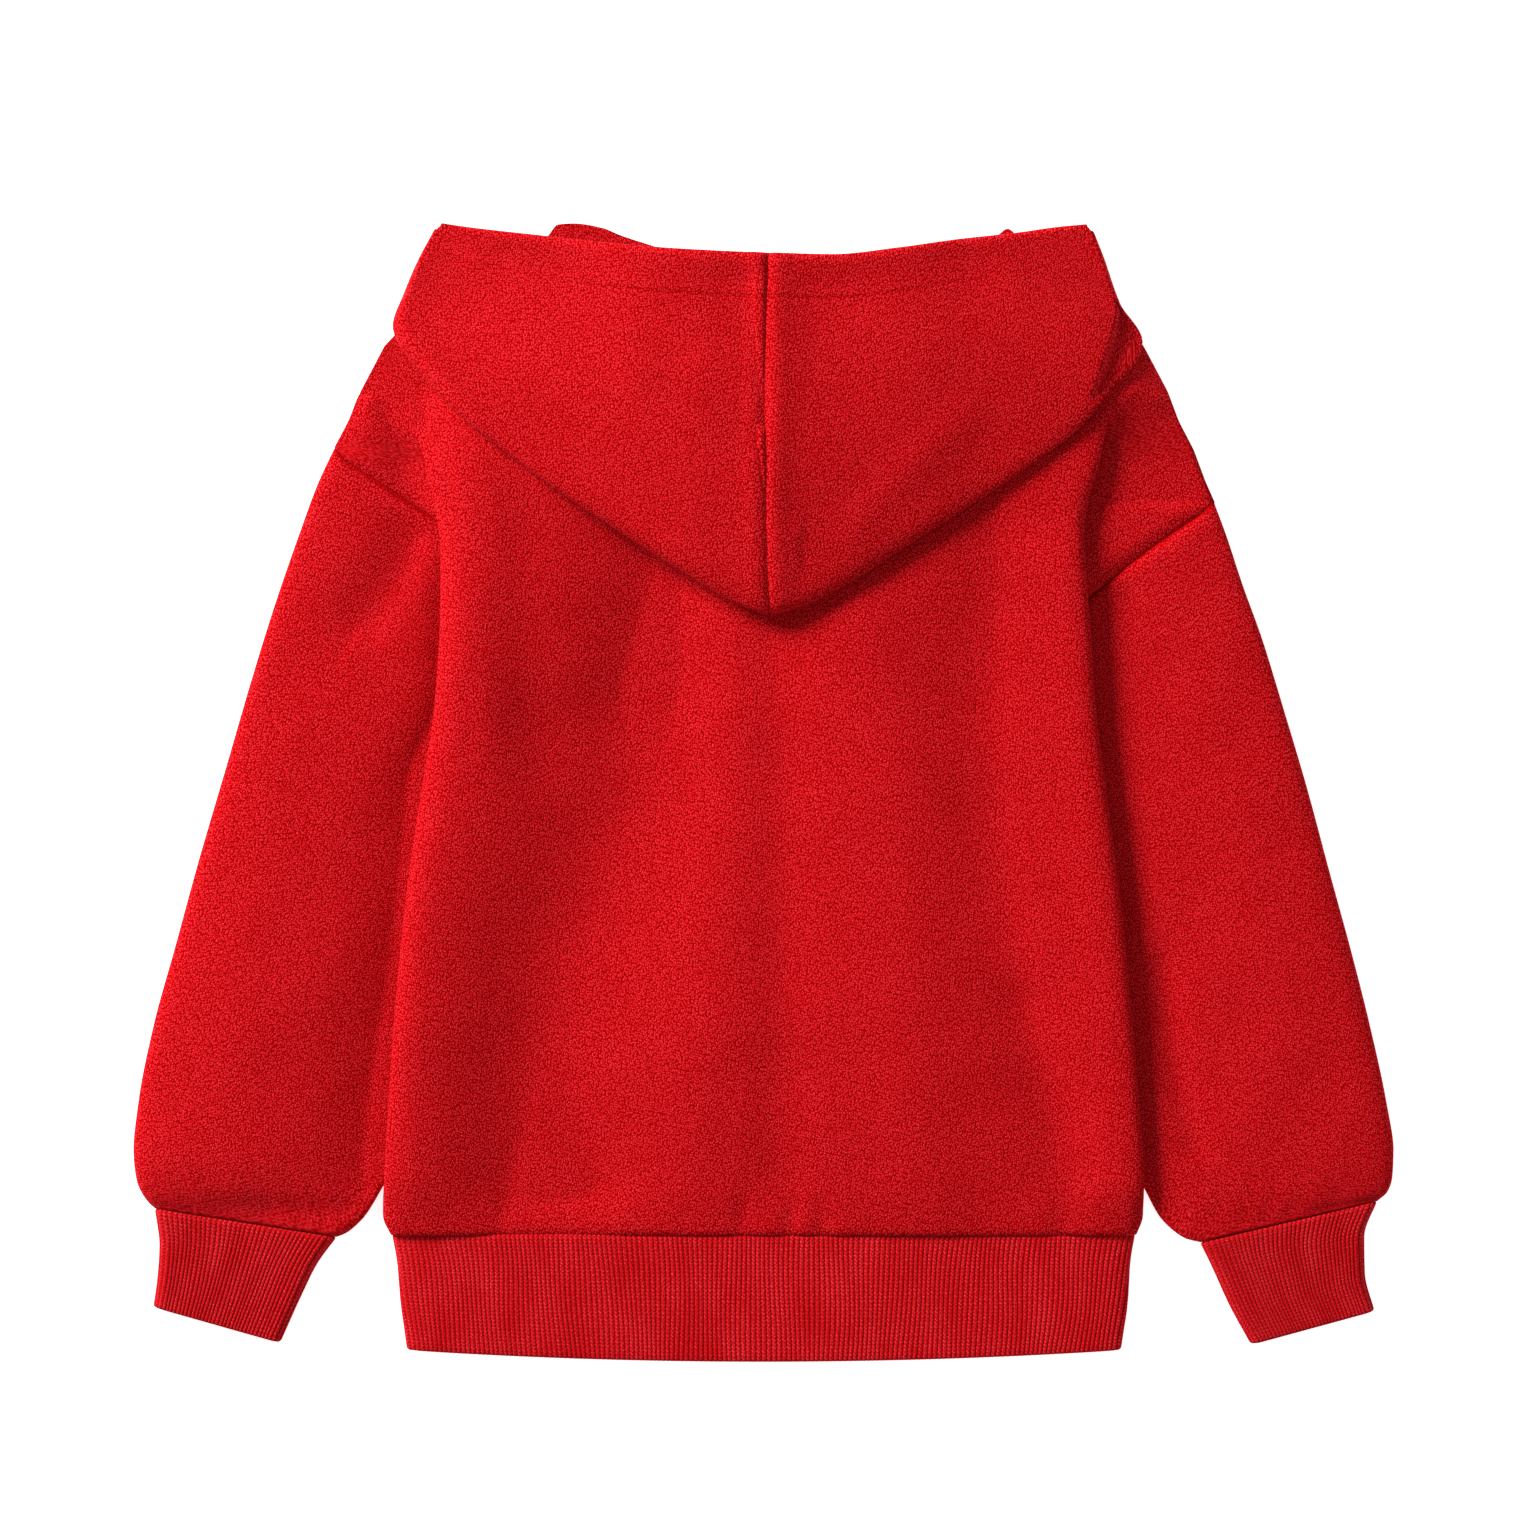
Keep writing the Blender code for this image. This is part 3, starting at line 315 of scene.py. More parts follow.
def folds(which, x, y):
    """Height added by soft ridges and troughs, steeper on one side."""
    x, y = np.asarray(x, float), np.asarray(y, float)
    z = np.zeros(np.broadcast(x, y).shape)
    for _, path, left, right, height in which:
        d, _, sign = path_distance(rounded(path), x, y)
        width = left + (right - left) * .5 * (1 + sign * np.clip(d / 4.0, 0, 1))
        z = z + height * np.exp(-(d / width) ** 2)
    return z


def ripple(x, y, seed, length, size):
    """Smooth irregular waves of about this length, from a fixed seed."""
    rng = np.random.RandomState(seed)
    z = np.zeros(np.broadcast(x, y).shape)
    for i in range(7):
        a = rng.uniform(0, math.pi)
        w = 2 * math.pi / (length * rng.uniform(.6, 1.7))
        z = z + np.sin((x * math.cos(a) + y * math.sin(a)) * w + rng.uniform(0, 6.28))
    return z * size / 2.6


SHOULDER_LINE = {s: np.column_stack([s * SHOULDER["x"], SHOULDER["y"]]) for s in (-1, 1)}


def beyond_shoulder(x, y):
    x, y = np.asarray(x, float), np.asarray(y, float)
    dl = path_distance(SHOULDER_LINE[-1], x, y)[0]
    dr = path_distance(SHOULDER_LINE[1], x, y)[0]
    inside = y < curve(SHOULDER["x"], SHOULDER["y"], np.abs(x))
    return np.where(inside, -1, 1) * np.minimum(dl, dr)


# ---------------------------------------------------------------- the body
def back_form(x, y):
    """Middle surface of the back before its folds, thinning to the shoulder."""
    z = look(BACK_HEIGHT, "y", "z", y)
    left = smooth(40, -40, x)
    s = np.clip(-beyond_shoulder(x, y) / (32.0 + 28.0 * left), 0, 1)
    s = s + (1 - s) * .8 * smooth(NECK_W + 5, NECK_W - 45, np.abs(x))
    return EDGE_Z + (z - EDGE_Z) * (1 - (1 - s) ** (2.4 - .9 * left))


def back_relief(x, y):
    """The back's folds, its faint waviness and the puckers at the hem seam."""
    edge = np.clip(-beyond_shoulder(x, y) / 30.0, 0, 1)
    z = folds(BACK_FOLDS, x, y) * (.3 + .7 * smooth(-199, -172, y)) * (.25 + .75 * edge)
    z = np.maximum(z, -.7 * (back_form(x, y) - EDGE_Z))
    z = z + ripple(x, y, 3, 70, .2) * smooth(-196, -178, y) * edge
    for px, w, h in PUCKERS:
        z = z + h * np.exp(-((x - px - .12 * (y + 199)) / w) ** 2) * np.exp(-((y + 193) / 13) ** 2)
    z = z + .12 * np.sin(x / 3.1 + 2.2 * np.sin(x / 23.0)) * np.exp(-((y + 195.5) / 5.5) ** 2)
    return z


PUCKERS = ((-118.6, 5, -.9), (-62, 7, .5), (-10.6, 5, -1.1), (11.9, 4, -.9), (25.4, 5, -.8),
           (78, 8, .5), (133.4, 6, -1.0), (149, 5, .5))


def arm_point(side, u, shift=0.0):
    o, i = np.array(ARM[side]["outer"]), np.array(ARM[side]["inner"])
    along = (i - o) / np.hypot(*(i - o))
    out = np.array([along[1], -along[0]]) * side
    if out[1] > 0:
        out = -out
    u = np.asarray(u, float)[..., None]
    return o + u * (i - o) - out * ARM[side]["bow"] * 4 * u * (1 - u) + out * np.asarray(shift, float)[..., None]


def arm_share(side, y):
    u = np.linspace(0, 1, 401)
    ys = arm_point(side, u, -SEAM_GAP)[:, 1]
    return float(np.interp(-y, -ys, u))


def ring_ctrl(width, z0, z1, z2, z3, z4, base):
    h0, h4 = z0 - base, z4 - base
    r0, r4 = min(4.6, .42 * h0 + .8), min(5.0, .5 * h4 + 1)
    return [(.50 * width, base, 0), (.28 * width, base, 0), (3.2 * r0, base, 0), (r0, base, 0),
            (-.1, base + .22 * h0, 0), (-.1, base + .72 * h0, .4), (1.1 * r0, z0, .8),
            (.20 * width, z1, 1), (.40 * width, z2, 1), (.62 * width, (z2 + z3) / 2, 1),
            (.80 * width, z3, 1), (width - 2.6 * r4, .35 * z3 + .65 * z4, .8), (width - r4, z4, .5),
            (width + .6, base + .5 * h4, 0), (width - r4, base, 0), (width - 3.2 * r4, base, 0),
            (.72 * width, base, 0)]


def wall_heights(side, k):
    return [float(look(WALL[side], "k", "z%d" % j, k)) for j in range(5)]


RING_COUNTS = [5, 4, 3, 4, 4, 4, 8, 11, 12, 10, 9, 5, 4, 4, 3, 4, 5]


def ring_section(width, z, base, wall, counts):
    sec = bspline(ring_ctrl(width, *z, base), counts, closed=True)
    lo, hi = sec[:, 0].min(), sec[:, 0].max()
    sec[:, 0] = wall / 2 + (sec[:, 0] - lo) * (width - wall) / (hi - lo)
    return sec


def arm_height(side, u):
    row = {c: SLEEVE[side][c][0] for c in SLEEVE_COLS.split()}
    width = np.hypot(row["ox"] - row["ix"], row["oy"] - row["iy"])
    sec = ring_section(width, wall_heights(side, 0), FLOOR, SKIN, RING_COUNTS)
    first, last = sum(RING_COUNTS[:4]), sum(RING_COUNTS[:14])
    top = sec[first:last]
    return float(np.interp(u * width, top[:, 0], top[:, 1]))


def side_ctrl(side, y):
    """Control points (x, z, upward share) of the back's side, seam end first."""
    body = BODY_L if side < 0 else BODY_R
    lip = float(look(body, "y", "lip", y))
    w = {n: float(smooth(0, 1, np.interp(y, body["y"], body[n])))
         for n in ("open", "tuck", "roll", "flat")}
    x_top = lip - 14
    top = float(back_form(side * x_top, y))
    y_outer, y_inner = ARM[side]["outer"][1], ARM[side]["inner"][1]
    if y > y_outer:
        ex = float(np.interp(-y, -SHOULDER["y"], SHOULDER["x"]))
        ez = EDGE_Z
    elif y >= y_inner:
        u = arm_share(side, y)
        ex = side * float(arm_point(side, u, -SEAM_GAP)[0])
        ez = max(arm_height(side, u), EDGE_Z)
    else:
        drop = float(smooth(y_inner, y_inner - 9, y))
        ex = (1 - drop) * abs(ARM[side]["inner"][0]) + drop * (lip - SIDE_SEAM_D) + SEAM_GAP
        ex += 5.0 * drop * (1 - drop)
        ez = (1 - drop) * EDGE_Z + drop * FLOOR
    wing = 1.0 if y >= y_inner else 0.0
    up = (1, 1, .5 + .5 * w["open"], w["open"], w["open"], w["open"],
          max(w["open"], .3 * wing))
    pts = []
    for j, share in enumerate(OPEN_SHARE):
        ox = x_top + (ex - x_top) * share
        x = w["open"] * ox
        z = w["open"] * float(back_form(side * ox, y))
        for name, shape in FOLD_SHAPE.items():
            x += w[name] * (lip - shape["d"][j])
            z += w[name] * (shape["top"][j] * top + shape["z"][j])
        pts.append((side * x, z, up[j]))
    hx, hz = side * pts[-1][0], pts[-1][1]
    swell = 1.3 if y >= y_inner else 0.0
    tail = [(side * (hx + (ex - hx) * f), hz + (ez - hz) * f + swell * math.sin(math.pi * f), wing)
            for f in (.34, .67)]
    tail.append((side * ex, ez, wing))
    return (pts + tail)[::-1]


def top_line(x, low, width=NECK_W):
    x = np.minimum(np.abs(np.asarray(x, float)), 171.4)
    neck = low + (NECK_SIDE_Y - low) * (x / width) ** 2
    return np.where(x < width, neck, curve(SHOULDER["x"], SHOULDER["y"], x))


SIDE_COUNTS = [7, 5, 4, 3, 3, 3, 4, 5, 5, 5]      # seam end to the panel's face


def back_grid():
    n_main = 11
    ys = [-199.3, -198.9, -198.3, -197.5, -196.5, -195.3, -193.9, -192.3, -190.5, -188.6]
    ys += list(np.arange(-186.5, 177.0, 2.1)) + [178.0]
    rows = [(y, 0.0) for y in ys] + [(178.0, t) for t in np.linspace(0, 1, 23)[1:]]
    counts = SIDE_COUNTS[:] + [11] * (n_main - 1) + SIDE_COUNTS[::-1]
    grid = []
    for y, t in rows:
        y0 = y + (201.2 - 178) * t
        left, right = side_ctrl(-1, y0), side_ctrl(1, y0)
        xs = np.linspace(left[-1][0], right[-1][0], n_main + 2)[1:-1]
        zs = back_form(xs, np.full(len(xs), y0))
        main = [(x, float(z), 1.0) for x, z in zip(xs, zs)]
        ctrl = left + main + right[::-1]
        sec = bspline(ctrl, counts + [11] * (len(ctrl) - 1 - len(counts)))
        py = np.full(len(sec), float(y0))
        z = sec[:, 1]
        if t > 0:
            py = 178 + (top_line(sec[:, 0], NECK_BACK_Y) - 178) * t
            z = back_form(sec[:, 0], py)
        grid.append(np.column_stack([sec[:, 0], py, z, sec[:, 2]]))
    grid = np.array(grid)
    x, y = grid[..., 0], grid[..., 1]
    relief = back_relief(x, y)
    low = np.minimum(grid[..., 2], FLOOR + 2.4)
    near = [path_distance(arm_point(side, np.linspace(0, 1, 12)), x, y)[0] for side in (-1, 1)]
    relief *= 1 - .15 * smooth(7, 0, np.minimum(*near)) * smooth(10.5, 7.5, grid[..., 2])
    grid[..., 2] = np.maximum(grid[..., 2] + relief * grid[..., 3], low)
    # cloth rolls down into the armhole seam
    for side, d in zip((-1, 1), near):
        grid[..., 2] += seam_roll(d, .9, 1.9) * grid[..., 3] * smooth(11.5, 8.5, grid[..., 2])
    return grid[..., :3]


def seam_roll(d, depth, width):
    """Dip beside a seam, with a slight swelling next to it."""
    return -depth * np.exp(-(d / width) ** 2) + .35 * depth * np.exp(-((d - 3.2 * width) / (1.6 * width)) ** 2)


def front_end(side, y):
    y_outer, y_inner = ARM[side]["outer"][1], ARM[side]["inner"][1]
    if y > y_outer:
        return side * float(np.interp(-y, -SHOULDER["y"], SHOULDER["x"]))
    if y >= y_inner:
        return float(arm_point(side, arm_share(side, y), -GAP)[0])
    body = BODY_L if side < 0 else BODY_R
    lip = float(look(body, "y", "lip", y))
    drop = float(smooth(y_inner, y_inner - 9, y))
    return side * ((1 - drop) * abs(ARM[side]["inner"][0]) + drop * (lip - SIDE_SEAM_D) - SEAM_GAP)


def front_grid():
    rows = [(y, 0.0) for y in np.linspace(-199.3, 166, 78)]
    rows += [(166.0, t) for t in np.linspace(0, 1, 14)[1:]]
    share = np.linspace(0, 1, 61)
    grid = []
    for y, t in rows:
        y0 = y + (201.2 - 166) * t
        xl, xr = front_end(-1, y0), front_end(1, y0)
        xs = xl + (xr - xl) * share
        py = np.full(len(xs), float(y0))
        if t > 0:
            py = 166 + (top_line(xs, NECK_FRONT_Y) - 166) * t
        grid.append(np.column_stack([xs, py, np.full(len(xs), FLOOR)]))
    return np.array(grid)


# ---------------------------------------------------------------- the sleeves
def sleeve_stations(side):
    """Places along the sleeve, close together at its two seams."""
    tab = SLEEVE[side]
    k = np.linspace(0, len(tab["ox"]) - 1, 600)
    mx = .5 * (column(tab, "ox", k) + column(tab, "ix", k))
    my = .5 * (column(tab, "oy", k) + column(tab, "iy", k))
    s = np.concatenate([[0], np.cumsum(np.hypot(np.diff(mx), np.diff(my)))])
    total = s[-1]
    at = [0, .5, 1.0, 1.6, 2.3, 3.1, 4.1, 5.4]
    at += list(np.linspace(7.2, total - 44, 118))
    at += list(np.linspace(total - 42.6, total, 34))
    return np.interp(at, s, k), np.array(at), total


def sleeve_grid(side):
    tab = SLEEVE[side]
    ks, along, total = sleeve_stations(side)
    last = len(tab["ox"]) - 1
    grid, up_share, uv = [], [], []
    for k, s in zip(ks, along):
        row = {c: float(column(tab, c, k)) for c in SLEEVE_COLS.split()}
        o = np.array([side * row["ox"], row["oy"]])
        i = np.array([side * row["ix"], row["iy"]])
        width = np.hypot(*(i - o))
        sec = ring_section(width, wall_heights(side, k), FLOOR, SKIN, RING_COUNTS)
        u = sec[:, 0] / width
        plan = o + u[:, None] * (i - o)
        bow = max(0.0, 1 - k / 3.0)
        seam = arm_point(side, u, SEAM_GAP - .9 * smooth(.14, 0, u)) - arm_point(side, 0) - u[:, None] * (i - o)
        plan = plan + bow * seam
        z = sec[:, 1].copy()
        x, y = plan[:, 0], plan[:, 1]
        up = sec[:, 2]
        relief = folds(SLEEVE_FOLDS, x, y) * smooth(0, .8, k) * smooth(0, 2.4, last - k)
        relief = relief + ripple(x, y, 11 + side, 60, .25) * smooth(0, .8, k) * smooth(0, 2, last - k)
        to_cuff = total - s
        gather = np.exp(-((to_cuff - 6) / 9.0) ** 2) + .35 * np.exp(-((to_cuff - 16) / 16.0) ** 2)
        f = u * width
        wave = np.sin(f / 2.3 + 1.9 * np.sin(f / 11.0 + side) + .05 * to_cuff)
        relief = relief + .14 * gather * wave * smooth(0, 3, to_cuff)
        relief = relief + seam_roll(s, 1.3, 2.0) * (1 if s < 30 else 0)
        low = np.where(up > .25, np.minimum(z, FLOOR + 2.3), FLOOR)
        grid.append(np.column_stack([x, y, np.maximum(z + up * relief, low)]))
        step = np.hypot(np.diff(np.append(sec[:, 0], sec[0, 0])), np.diff(np.append(sec[:, 1], sec[0, 1])))
        uv.append(np.column_stack([np.concatenate([[0], np.cumsum(step)]), np.full(len(sec) + 1, s)]))
    return np.array(grid), np.array(uv)


# ---------------------------------------------------------------- rib bands
def rib_section(o, i, bow, count, wander=0.0):
    """Middle line of a flattened rib tube and its outward direction, nearly evenly spaced."""
    width = np.hypot(*(i - o))
    h = RIB_TOP - RIB_FLOOR
    r = h / 2 + .6
    ctrl = [(f * width, RIB_FLOOR) for f in (.5, .25, .08)]
    ctrl += [(r, RIB_FLOOR), (0, RIB_FLOOR + .5 * h), (r, RIB_TOP)]
    ctrl += [(f * width, RIB_TOP) for f in (.08, .25, .5, .75, .92)]
    ctrl += [(width - r, RIB_TOP), (width, RIB_FLOOR + .5 * h), (width - r, RIB_FLOOR)]
    ctrl += [(f * width, RIB_FLOOR) for f in (.92, .75)]
    sec = bspline(ctrl, [24] * len(ctrl), closed=True)
    lo, hi = sec[:, 0].min(), sec[:, 0].max()
    sec[:, 0] = RIB / 2 + (sec[:, 0] - lo) * (width - RIB) / (hi - lo)
    loop = np.vstack([sec, sec[:1]])
    s = np.concatenate([[0], np.cumsum(np.hypot(*np.diff(loop, axis=0).T))])
    at = (np.arange(count) / count * s[-1] + wander) % s[-1]
    p = np.column_stack([np.interp(at, s, loop[:, 0]), np.interp(at, s, loop[:, 1])])
    d = np.roll(p, -1, 0) - np.roll(p, 1, 0)
    d /= np.hypot(d[:, 0], d[:, 1])[:, None]
    return p, np.column_stack([-d[:, 1], d[:, 0]]), s[-1], width


def rib_band(rows, wales, edge):
    """Outer face from the seam, round the folded free edge and up the inside."""
    count = wales * 6
    last = len(rows["ox"]) - 1
    k_all = np.linspace(0, last, 400)
    mx = .5 * (column(rows, "ox", k_all) + column(rows, "ix", k_all))
    my = .5 * (column(rows, "oy", k_all) + column(rows, "iy", k_all))
    s_all = np.concatenate([[0], np.cumsum(np.hypot(np.diff(mx), np.diff(my)))])
    total = s_all[-1]
    stops = [(-2.4, -1.3, 0), (-.7, -1.2, 0), (-.15, .3, .2), (.35, 1.2, .8)]     # sewn in under the cloth
    stops += [(s, RIB / 2, 1) for s in np.linspace(1.2, total - RIB / 2, 27)]
    stops += [(total - RIB / 2 * (1 - math.sin(a)), RIB / 2 * math.cos(a), 1)
              for a in np.linspace(0, math.pi, 7)[1:]]
    stops += [(s, -RIB / 2, 1) for s in np.linspace(total - RIB / 2 - 3, total * .35, 4)]
    start = np.array([mx[1] - mx[0], my[1] - my[0]])
    start /= np.hypot(*start)
    phase = (np.arange(count) % 6) / 6.0
    profile = np.abs(np.cos(math.pi * phase)) ** .6
    turn = 2 * math.pi * np.arange(count) / count
    grid, uv = [], []
    for s, off, rib in stops:
        k = float(np.interp(s, s_all, k_all))
        o = np.array([float(column(rows, "ox", k)), float(column(rows, "oy", k))])
        i = np.array([float(column(rows, "ix", k)), float(column(rows, "iy", k))])
        bow = float(column(rows, "bow", k)) if "bow" in rows else 0.0
        sway = min(1.0, wales / 200.0) * (.6 * np.sin(7 * turn + s / 15) + .3 * np.sin(19 * turn - s / 11 + 1.3))
        p, n, round_it, width = rib_section(o, i, bow, count, sway)
        face = 1 if off > 0 else -1
        lift = off + face * rib * edge * (profile - .75) * (1 if abs(off) > .4 else .8)
        q = p + n * lift[:, None]
        u = q[:, 0] / width
        plan = o + u[:, None] * (i - o)
        plan[:, 1] += bow * 4 * u * (1 - u)
        plan += min(s, 0) * start
        z = q[:, 1]
        grid.append(np.column_stack([plan, np.maximum(z, .02)]))
        uv.append(np.column_stack([np.arange(count + 1) / 6.0 * .002, np.full(count + 1, s)]))
    return np.array(grid), np.array(uv)


# ---------------------------------------------------------------- the hood
EDGE_LINE = {s: np.column_stack([HOOD_EDGE[s]["x"], HOOD_EDGE[s]["y"]])[:9] for s in (-1, 1)}


def under_layer(x, y):
    over = back_form(x, y) + LAP + .6 * back_relief(x, y)
    e = beyond_shoulder(x, y)
    return FLOOR + (over - FLOOR) * (1 - smooth(2.5, 11.0, e))


def upper_layer(x, y):
    left = smooth(0, -60, x)                       # its left corner stands fuller
    d = np.minimum(path_distance(EDGE_LINE[-1], x, y)[0], path_distance(EDGE_LINE[1], x, y)[0])
    return (10.0 + 3.1 * left + (.95 - .33 * left) * (back_form(x, y) - EDGE_Z) + HOOD_GAP - 3.4
            + curve(ROOF["x"], ROOF["z"], x) * (.2 + .8 * smooth(-6, 66, d))
            - 2.4 * smooth(30, 110, x) * smooth(34, 0, d)
            + 2.4 * smooth(-10, -40, x) * smooth(18, 3, d))


def hood_relief(side, x, y, from_rim):
    """Folds of the hood's face, its centre seam with its puckers, and the right pleat."""
    z = folds(HOOD_FOLDS, x, y) * smooth(0, 16, from_rim)
    z = z + ripple(x, y, 29 + side, 60, .25) * smooth(0, 30, from_rim)
    seam = np.abs(x - look(HOOD_SEAM, "y", "x", y))
    z = z + seam_roll(seam, 1.2, 1.9)
    pucker = np.sin(y / 2.9 + 1.4 * np.sin(y / 17.0)) * np.exp(-(seam / 7.0) ** 2)
    z = z + .22 * pucker * smooth(2, 5, seam)
    if side > 0:
        d, _, sign = path_distance(rounded(HOOD_STEP), x, y)
        right = -d * sign * (-1 if HOOD_STEP[0][1] > HOOD_STEP[-1][1] else 1)
        z = z - 4.4 * smooth(-.4, 2.6, right) * smooth(174, 183, y) * smooth(226, 219, y)
    return z


def edge_curve(side):
    p = np.column_stack([HOOD_EDGE[side]["x"], HOOD_EDGE[side]["y"]])
    length = np.concatenate([[0], np.cumsum(np.hypot(*np.diff(p, axis=0).T))])
    s = np.linspace(0, length[-1], 700)
    return s / length[-1], np.column_stack([curve(length, p[:, 0], s), curve(length, p[:, 1], s)])


EDGE_CURVE = {s: edge_curve(s) for s in (-1, 1)}


def edge_point(side, q):
    share, pts = EDGE_CURVE[side]
    return np.array([np.interp(q, share, pts[:, 0]), np.interp(q, share, pts[:, 1])])


UPPER_F = (0, .07, .18, .32, .48, .64, .78, .90, 1.0)
CASING_D = (1.0, .6, .25)                         # inner layer of the turned-in hem


def hood_column(side, k):
    tab = HOOD_COLUMNS[side]
    rx = side * float(column(tab, "x", k))
    if k == 0:
        rx = float(look(HOOD_SEAM, "y", "x", 241)) + side * SEAM_GAP
    rim = np.array([rx, float(look(HOOD_RIM, "x", "y", rx))])
    edge = edge_point(side, float(column(tab, "q", k)))
    hug = max(0.0, 1 - k) ** 2
    if k == 0:
        edge[0] = float(look(HOOD_SEAM, "y", "x", edge[1])) + side * SEAM_GAP
    line = edge - rim
    length = np.hypot(*line)
    along = line / length
    turn = min(5.5, .42 * length)

    def at(dist):
        p = rim + along * dist
        if hug:
            straight = float(look(HOOD_SEAM, "y", "x", rim[1])) * (1 - dist / length) \
                + float(look(HOOD_SEAM, "y", "x", edge[1])) * dist / length
            p = np.array([p[0] + hug * (float(look(HOOD_SEAM, "y", "x", p[1])) - straight), p[1]])
        return p

    def place(dist, height, lift=0.0):
        p = at(dist)
        return (p[0], p[1], float(height(p[0], p[1])) + lift, dist)

    depth = min(CASING, .5 * length)
    first = [place(depth * f, upper_layer, -3.0) for f in CASING_D]
    first += [place(2.6, upper_layer, -2.9), place(.3, upper_layer, -1.45)]
    upper = [place(max(f * (length - turn), 2.6 if not f else 0), upper_layer) for f in UPPER_F]
    low_at = length - turn
    turn_low = place(low_at, under_layer)
    tip = at(length + .25)
    mid = (tip[0], tip[1], .5 * (upper[-1][2] + turn_low[2]), length)
    dist = np.linspace(0, low_at, 200)
    pts = rim + along * dist[:, None]
    e = beyond_shoulder(pts[:, 0], pts[:, 1])
    if k < NECK_COLUMN:
        neck = top_line(pts[:, 0], NECK_BACK_Y)
        stop = dist[int(np.argmax(pts[:, 1] < neck))]
        lower = [turn_low] + [place(low_at + (stop - 1.2 - low_at) * f, under_layer)
                              for f in (.14, .3, .5, .7, .86, .94)]
        p = at(stop - 3.6)
        z = float(under_layer(*at(stop)))
        lower += [(p[0], p[1], z - .9, stop), (p[0], p[1], z - 2.6, stop)]
        fx = at(0)[0] if k else rx
        start = NECK_FRONT_Y + (NECK_SIDE_Y - NECK_FRONT_Y) * (fx / NECK_W) ** 2 + GAP
        end = float(look(THROAT_RIM, "x", "y", fx))
        throat = [(fx, start + (end - start) * f, FLOOR, 60.0) for f in (0, .3, .62, .86, 1.0)]
        return first + upper + [mid] + lower, None, throat
    cross = dist[int(np.argmin(np.abs(e - 6.5)))] if e.min() < 6.5 else .82 * low_at
    span = min(4.5, .2 * low_at)
    c_low, c_high = cross + span, cross - span
    lower = [turn_low] + [place(low_at + (c_low - low_at) * f, under_layer)
                          for f in (.12, .28, .46, .64, .82, .92, 1.0, 1.0)]
    lower[-1] = place(c_low - .5 * span, under_layer)
    crossing = [place(cross, under_layer), place(cross - .5 * span, under_layer)]
    end = np.array([rim[0], float(look(THROAT_RIM, "x", "y", rim[0]))])
    start = at(c_high)
    throat = []
    for f in (0, .3, .62, .86, 1.0):
        p = start + (end - start) * f
        throat.append((p[0], p[1], float(under_layer(p[0], p[1])), 60.0))
    return first + upper + [mid] + lower, crossing, throat


BODY_SPANS = [4, 4, 4, 4, 3] + [7, 10, 11, 13, 13, 12, 10, 9] + [6, 6] + [3] * 8
CROSS_SPANS = [3, 3, 3]
THROAT_SPANS = [6, 6, 6, 4]


def hood_half(side):
    """Vertices, faces and cloth coordinates of one half of the hood."""
    n = len(HOOD_COLUMNS[side]["x"])
    xs_k = np.linspace(0, n - 1, 300)
    q = column(HOOD_COLUMNS[side], "q", xs_k)
    x = column(HOOD_COLUMNS[side], "x", xs_k)
    s = np.concatenate([[0], np.cumsum(np.hypot(np.diff(x), 240 * np.diff(q)))])
    at = [0, .6, 1.2, 1.9, 2.7, 3.7, 5.0, 6.6] + list(np.linspace(8.4, s[-1], 104))
    ks = np.interp(at, s, xs_k)
    verts, uvs, cols, faces = [], [], [], []
    nb = sum(BODY_SPANS) + 1
    for k in ks:
        body, cross, throat = hood_column(side, float(k))
        ids = {}
        rx = body[5][0]
        if cross is None:
            parts = {"body": bspline(body, BODY_SPANS), "throat": bspline(throat, THROAT_SPANS)}
        else:
            whole = bspline(body + cross + throat, BODY_SPANS + CROSS_SPANS + THROAT_SPANS)
            nc = sum(CROSS_SPANS) - 1
            parts = {"body": whole[:nb], "cross": whole[nb:nb + nc], "throat": whole[nb + nc:]}
        for name, pts in parts.items():
            pts = pts.copy()
            if name == "body":
                w = np.zeros(len(pts))
                c0, c1, c2 = sum(BODY_SPANS[:3]), sum(BODY_SPANS[:5]), sum(BODY_SPANS[:13])
                w[:c0] = 1
                w[c0:c2] = 1
                w[c2:c2 + 13] = np.linspace(1, 0, 13)
                pts[:, 2] += w * hood_relief(side, pts[:, 0], pts[:, 1], pts[:, 3])
            ids[name] = list(range(len(verts), len(verts) + len(pts)))
            step = np.concatenate([[0], np.cumsum(np.sqrt((np.diff(pts[:, :3], axis=0) ** 2).sum(1)))])
            if name == "body":
                v = step - step[sum(BODY_SPANS[:4]) + 1]
            else:
                v = 400 + step
            verts.extend(map(tuple, pts[:, :3]))
            uvs.extend(zip(pts[:, 0], v))
        ids.setdefault("cross", None)
        cols.append(ids)
    for a, b in zip(cols[:-1], cols[1:]):
        if a["cross"] is not None and b["cross"] is not None:
            strips = [(a["body"] + a["cross"] + a["throat"], b["body"] + b["cross"] + b["throat"])]
        else:
            strips = [(a["body"], b["body"]), (a["throat"], b["throat"])]
        for ca, cb in strips:
            for i in range(len(ca) - 1):
                quad = (ca[i], cb[i], cb[i + 1], ca[i + 1])
                faces.append(quad if side > 0 else quad[::-1])
    return np.array(verts), faces, np.array(uvs)


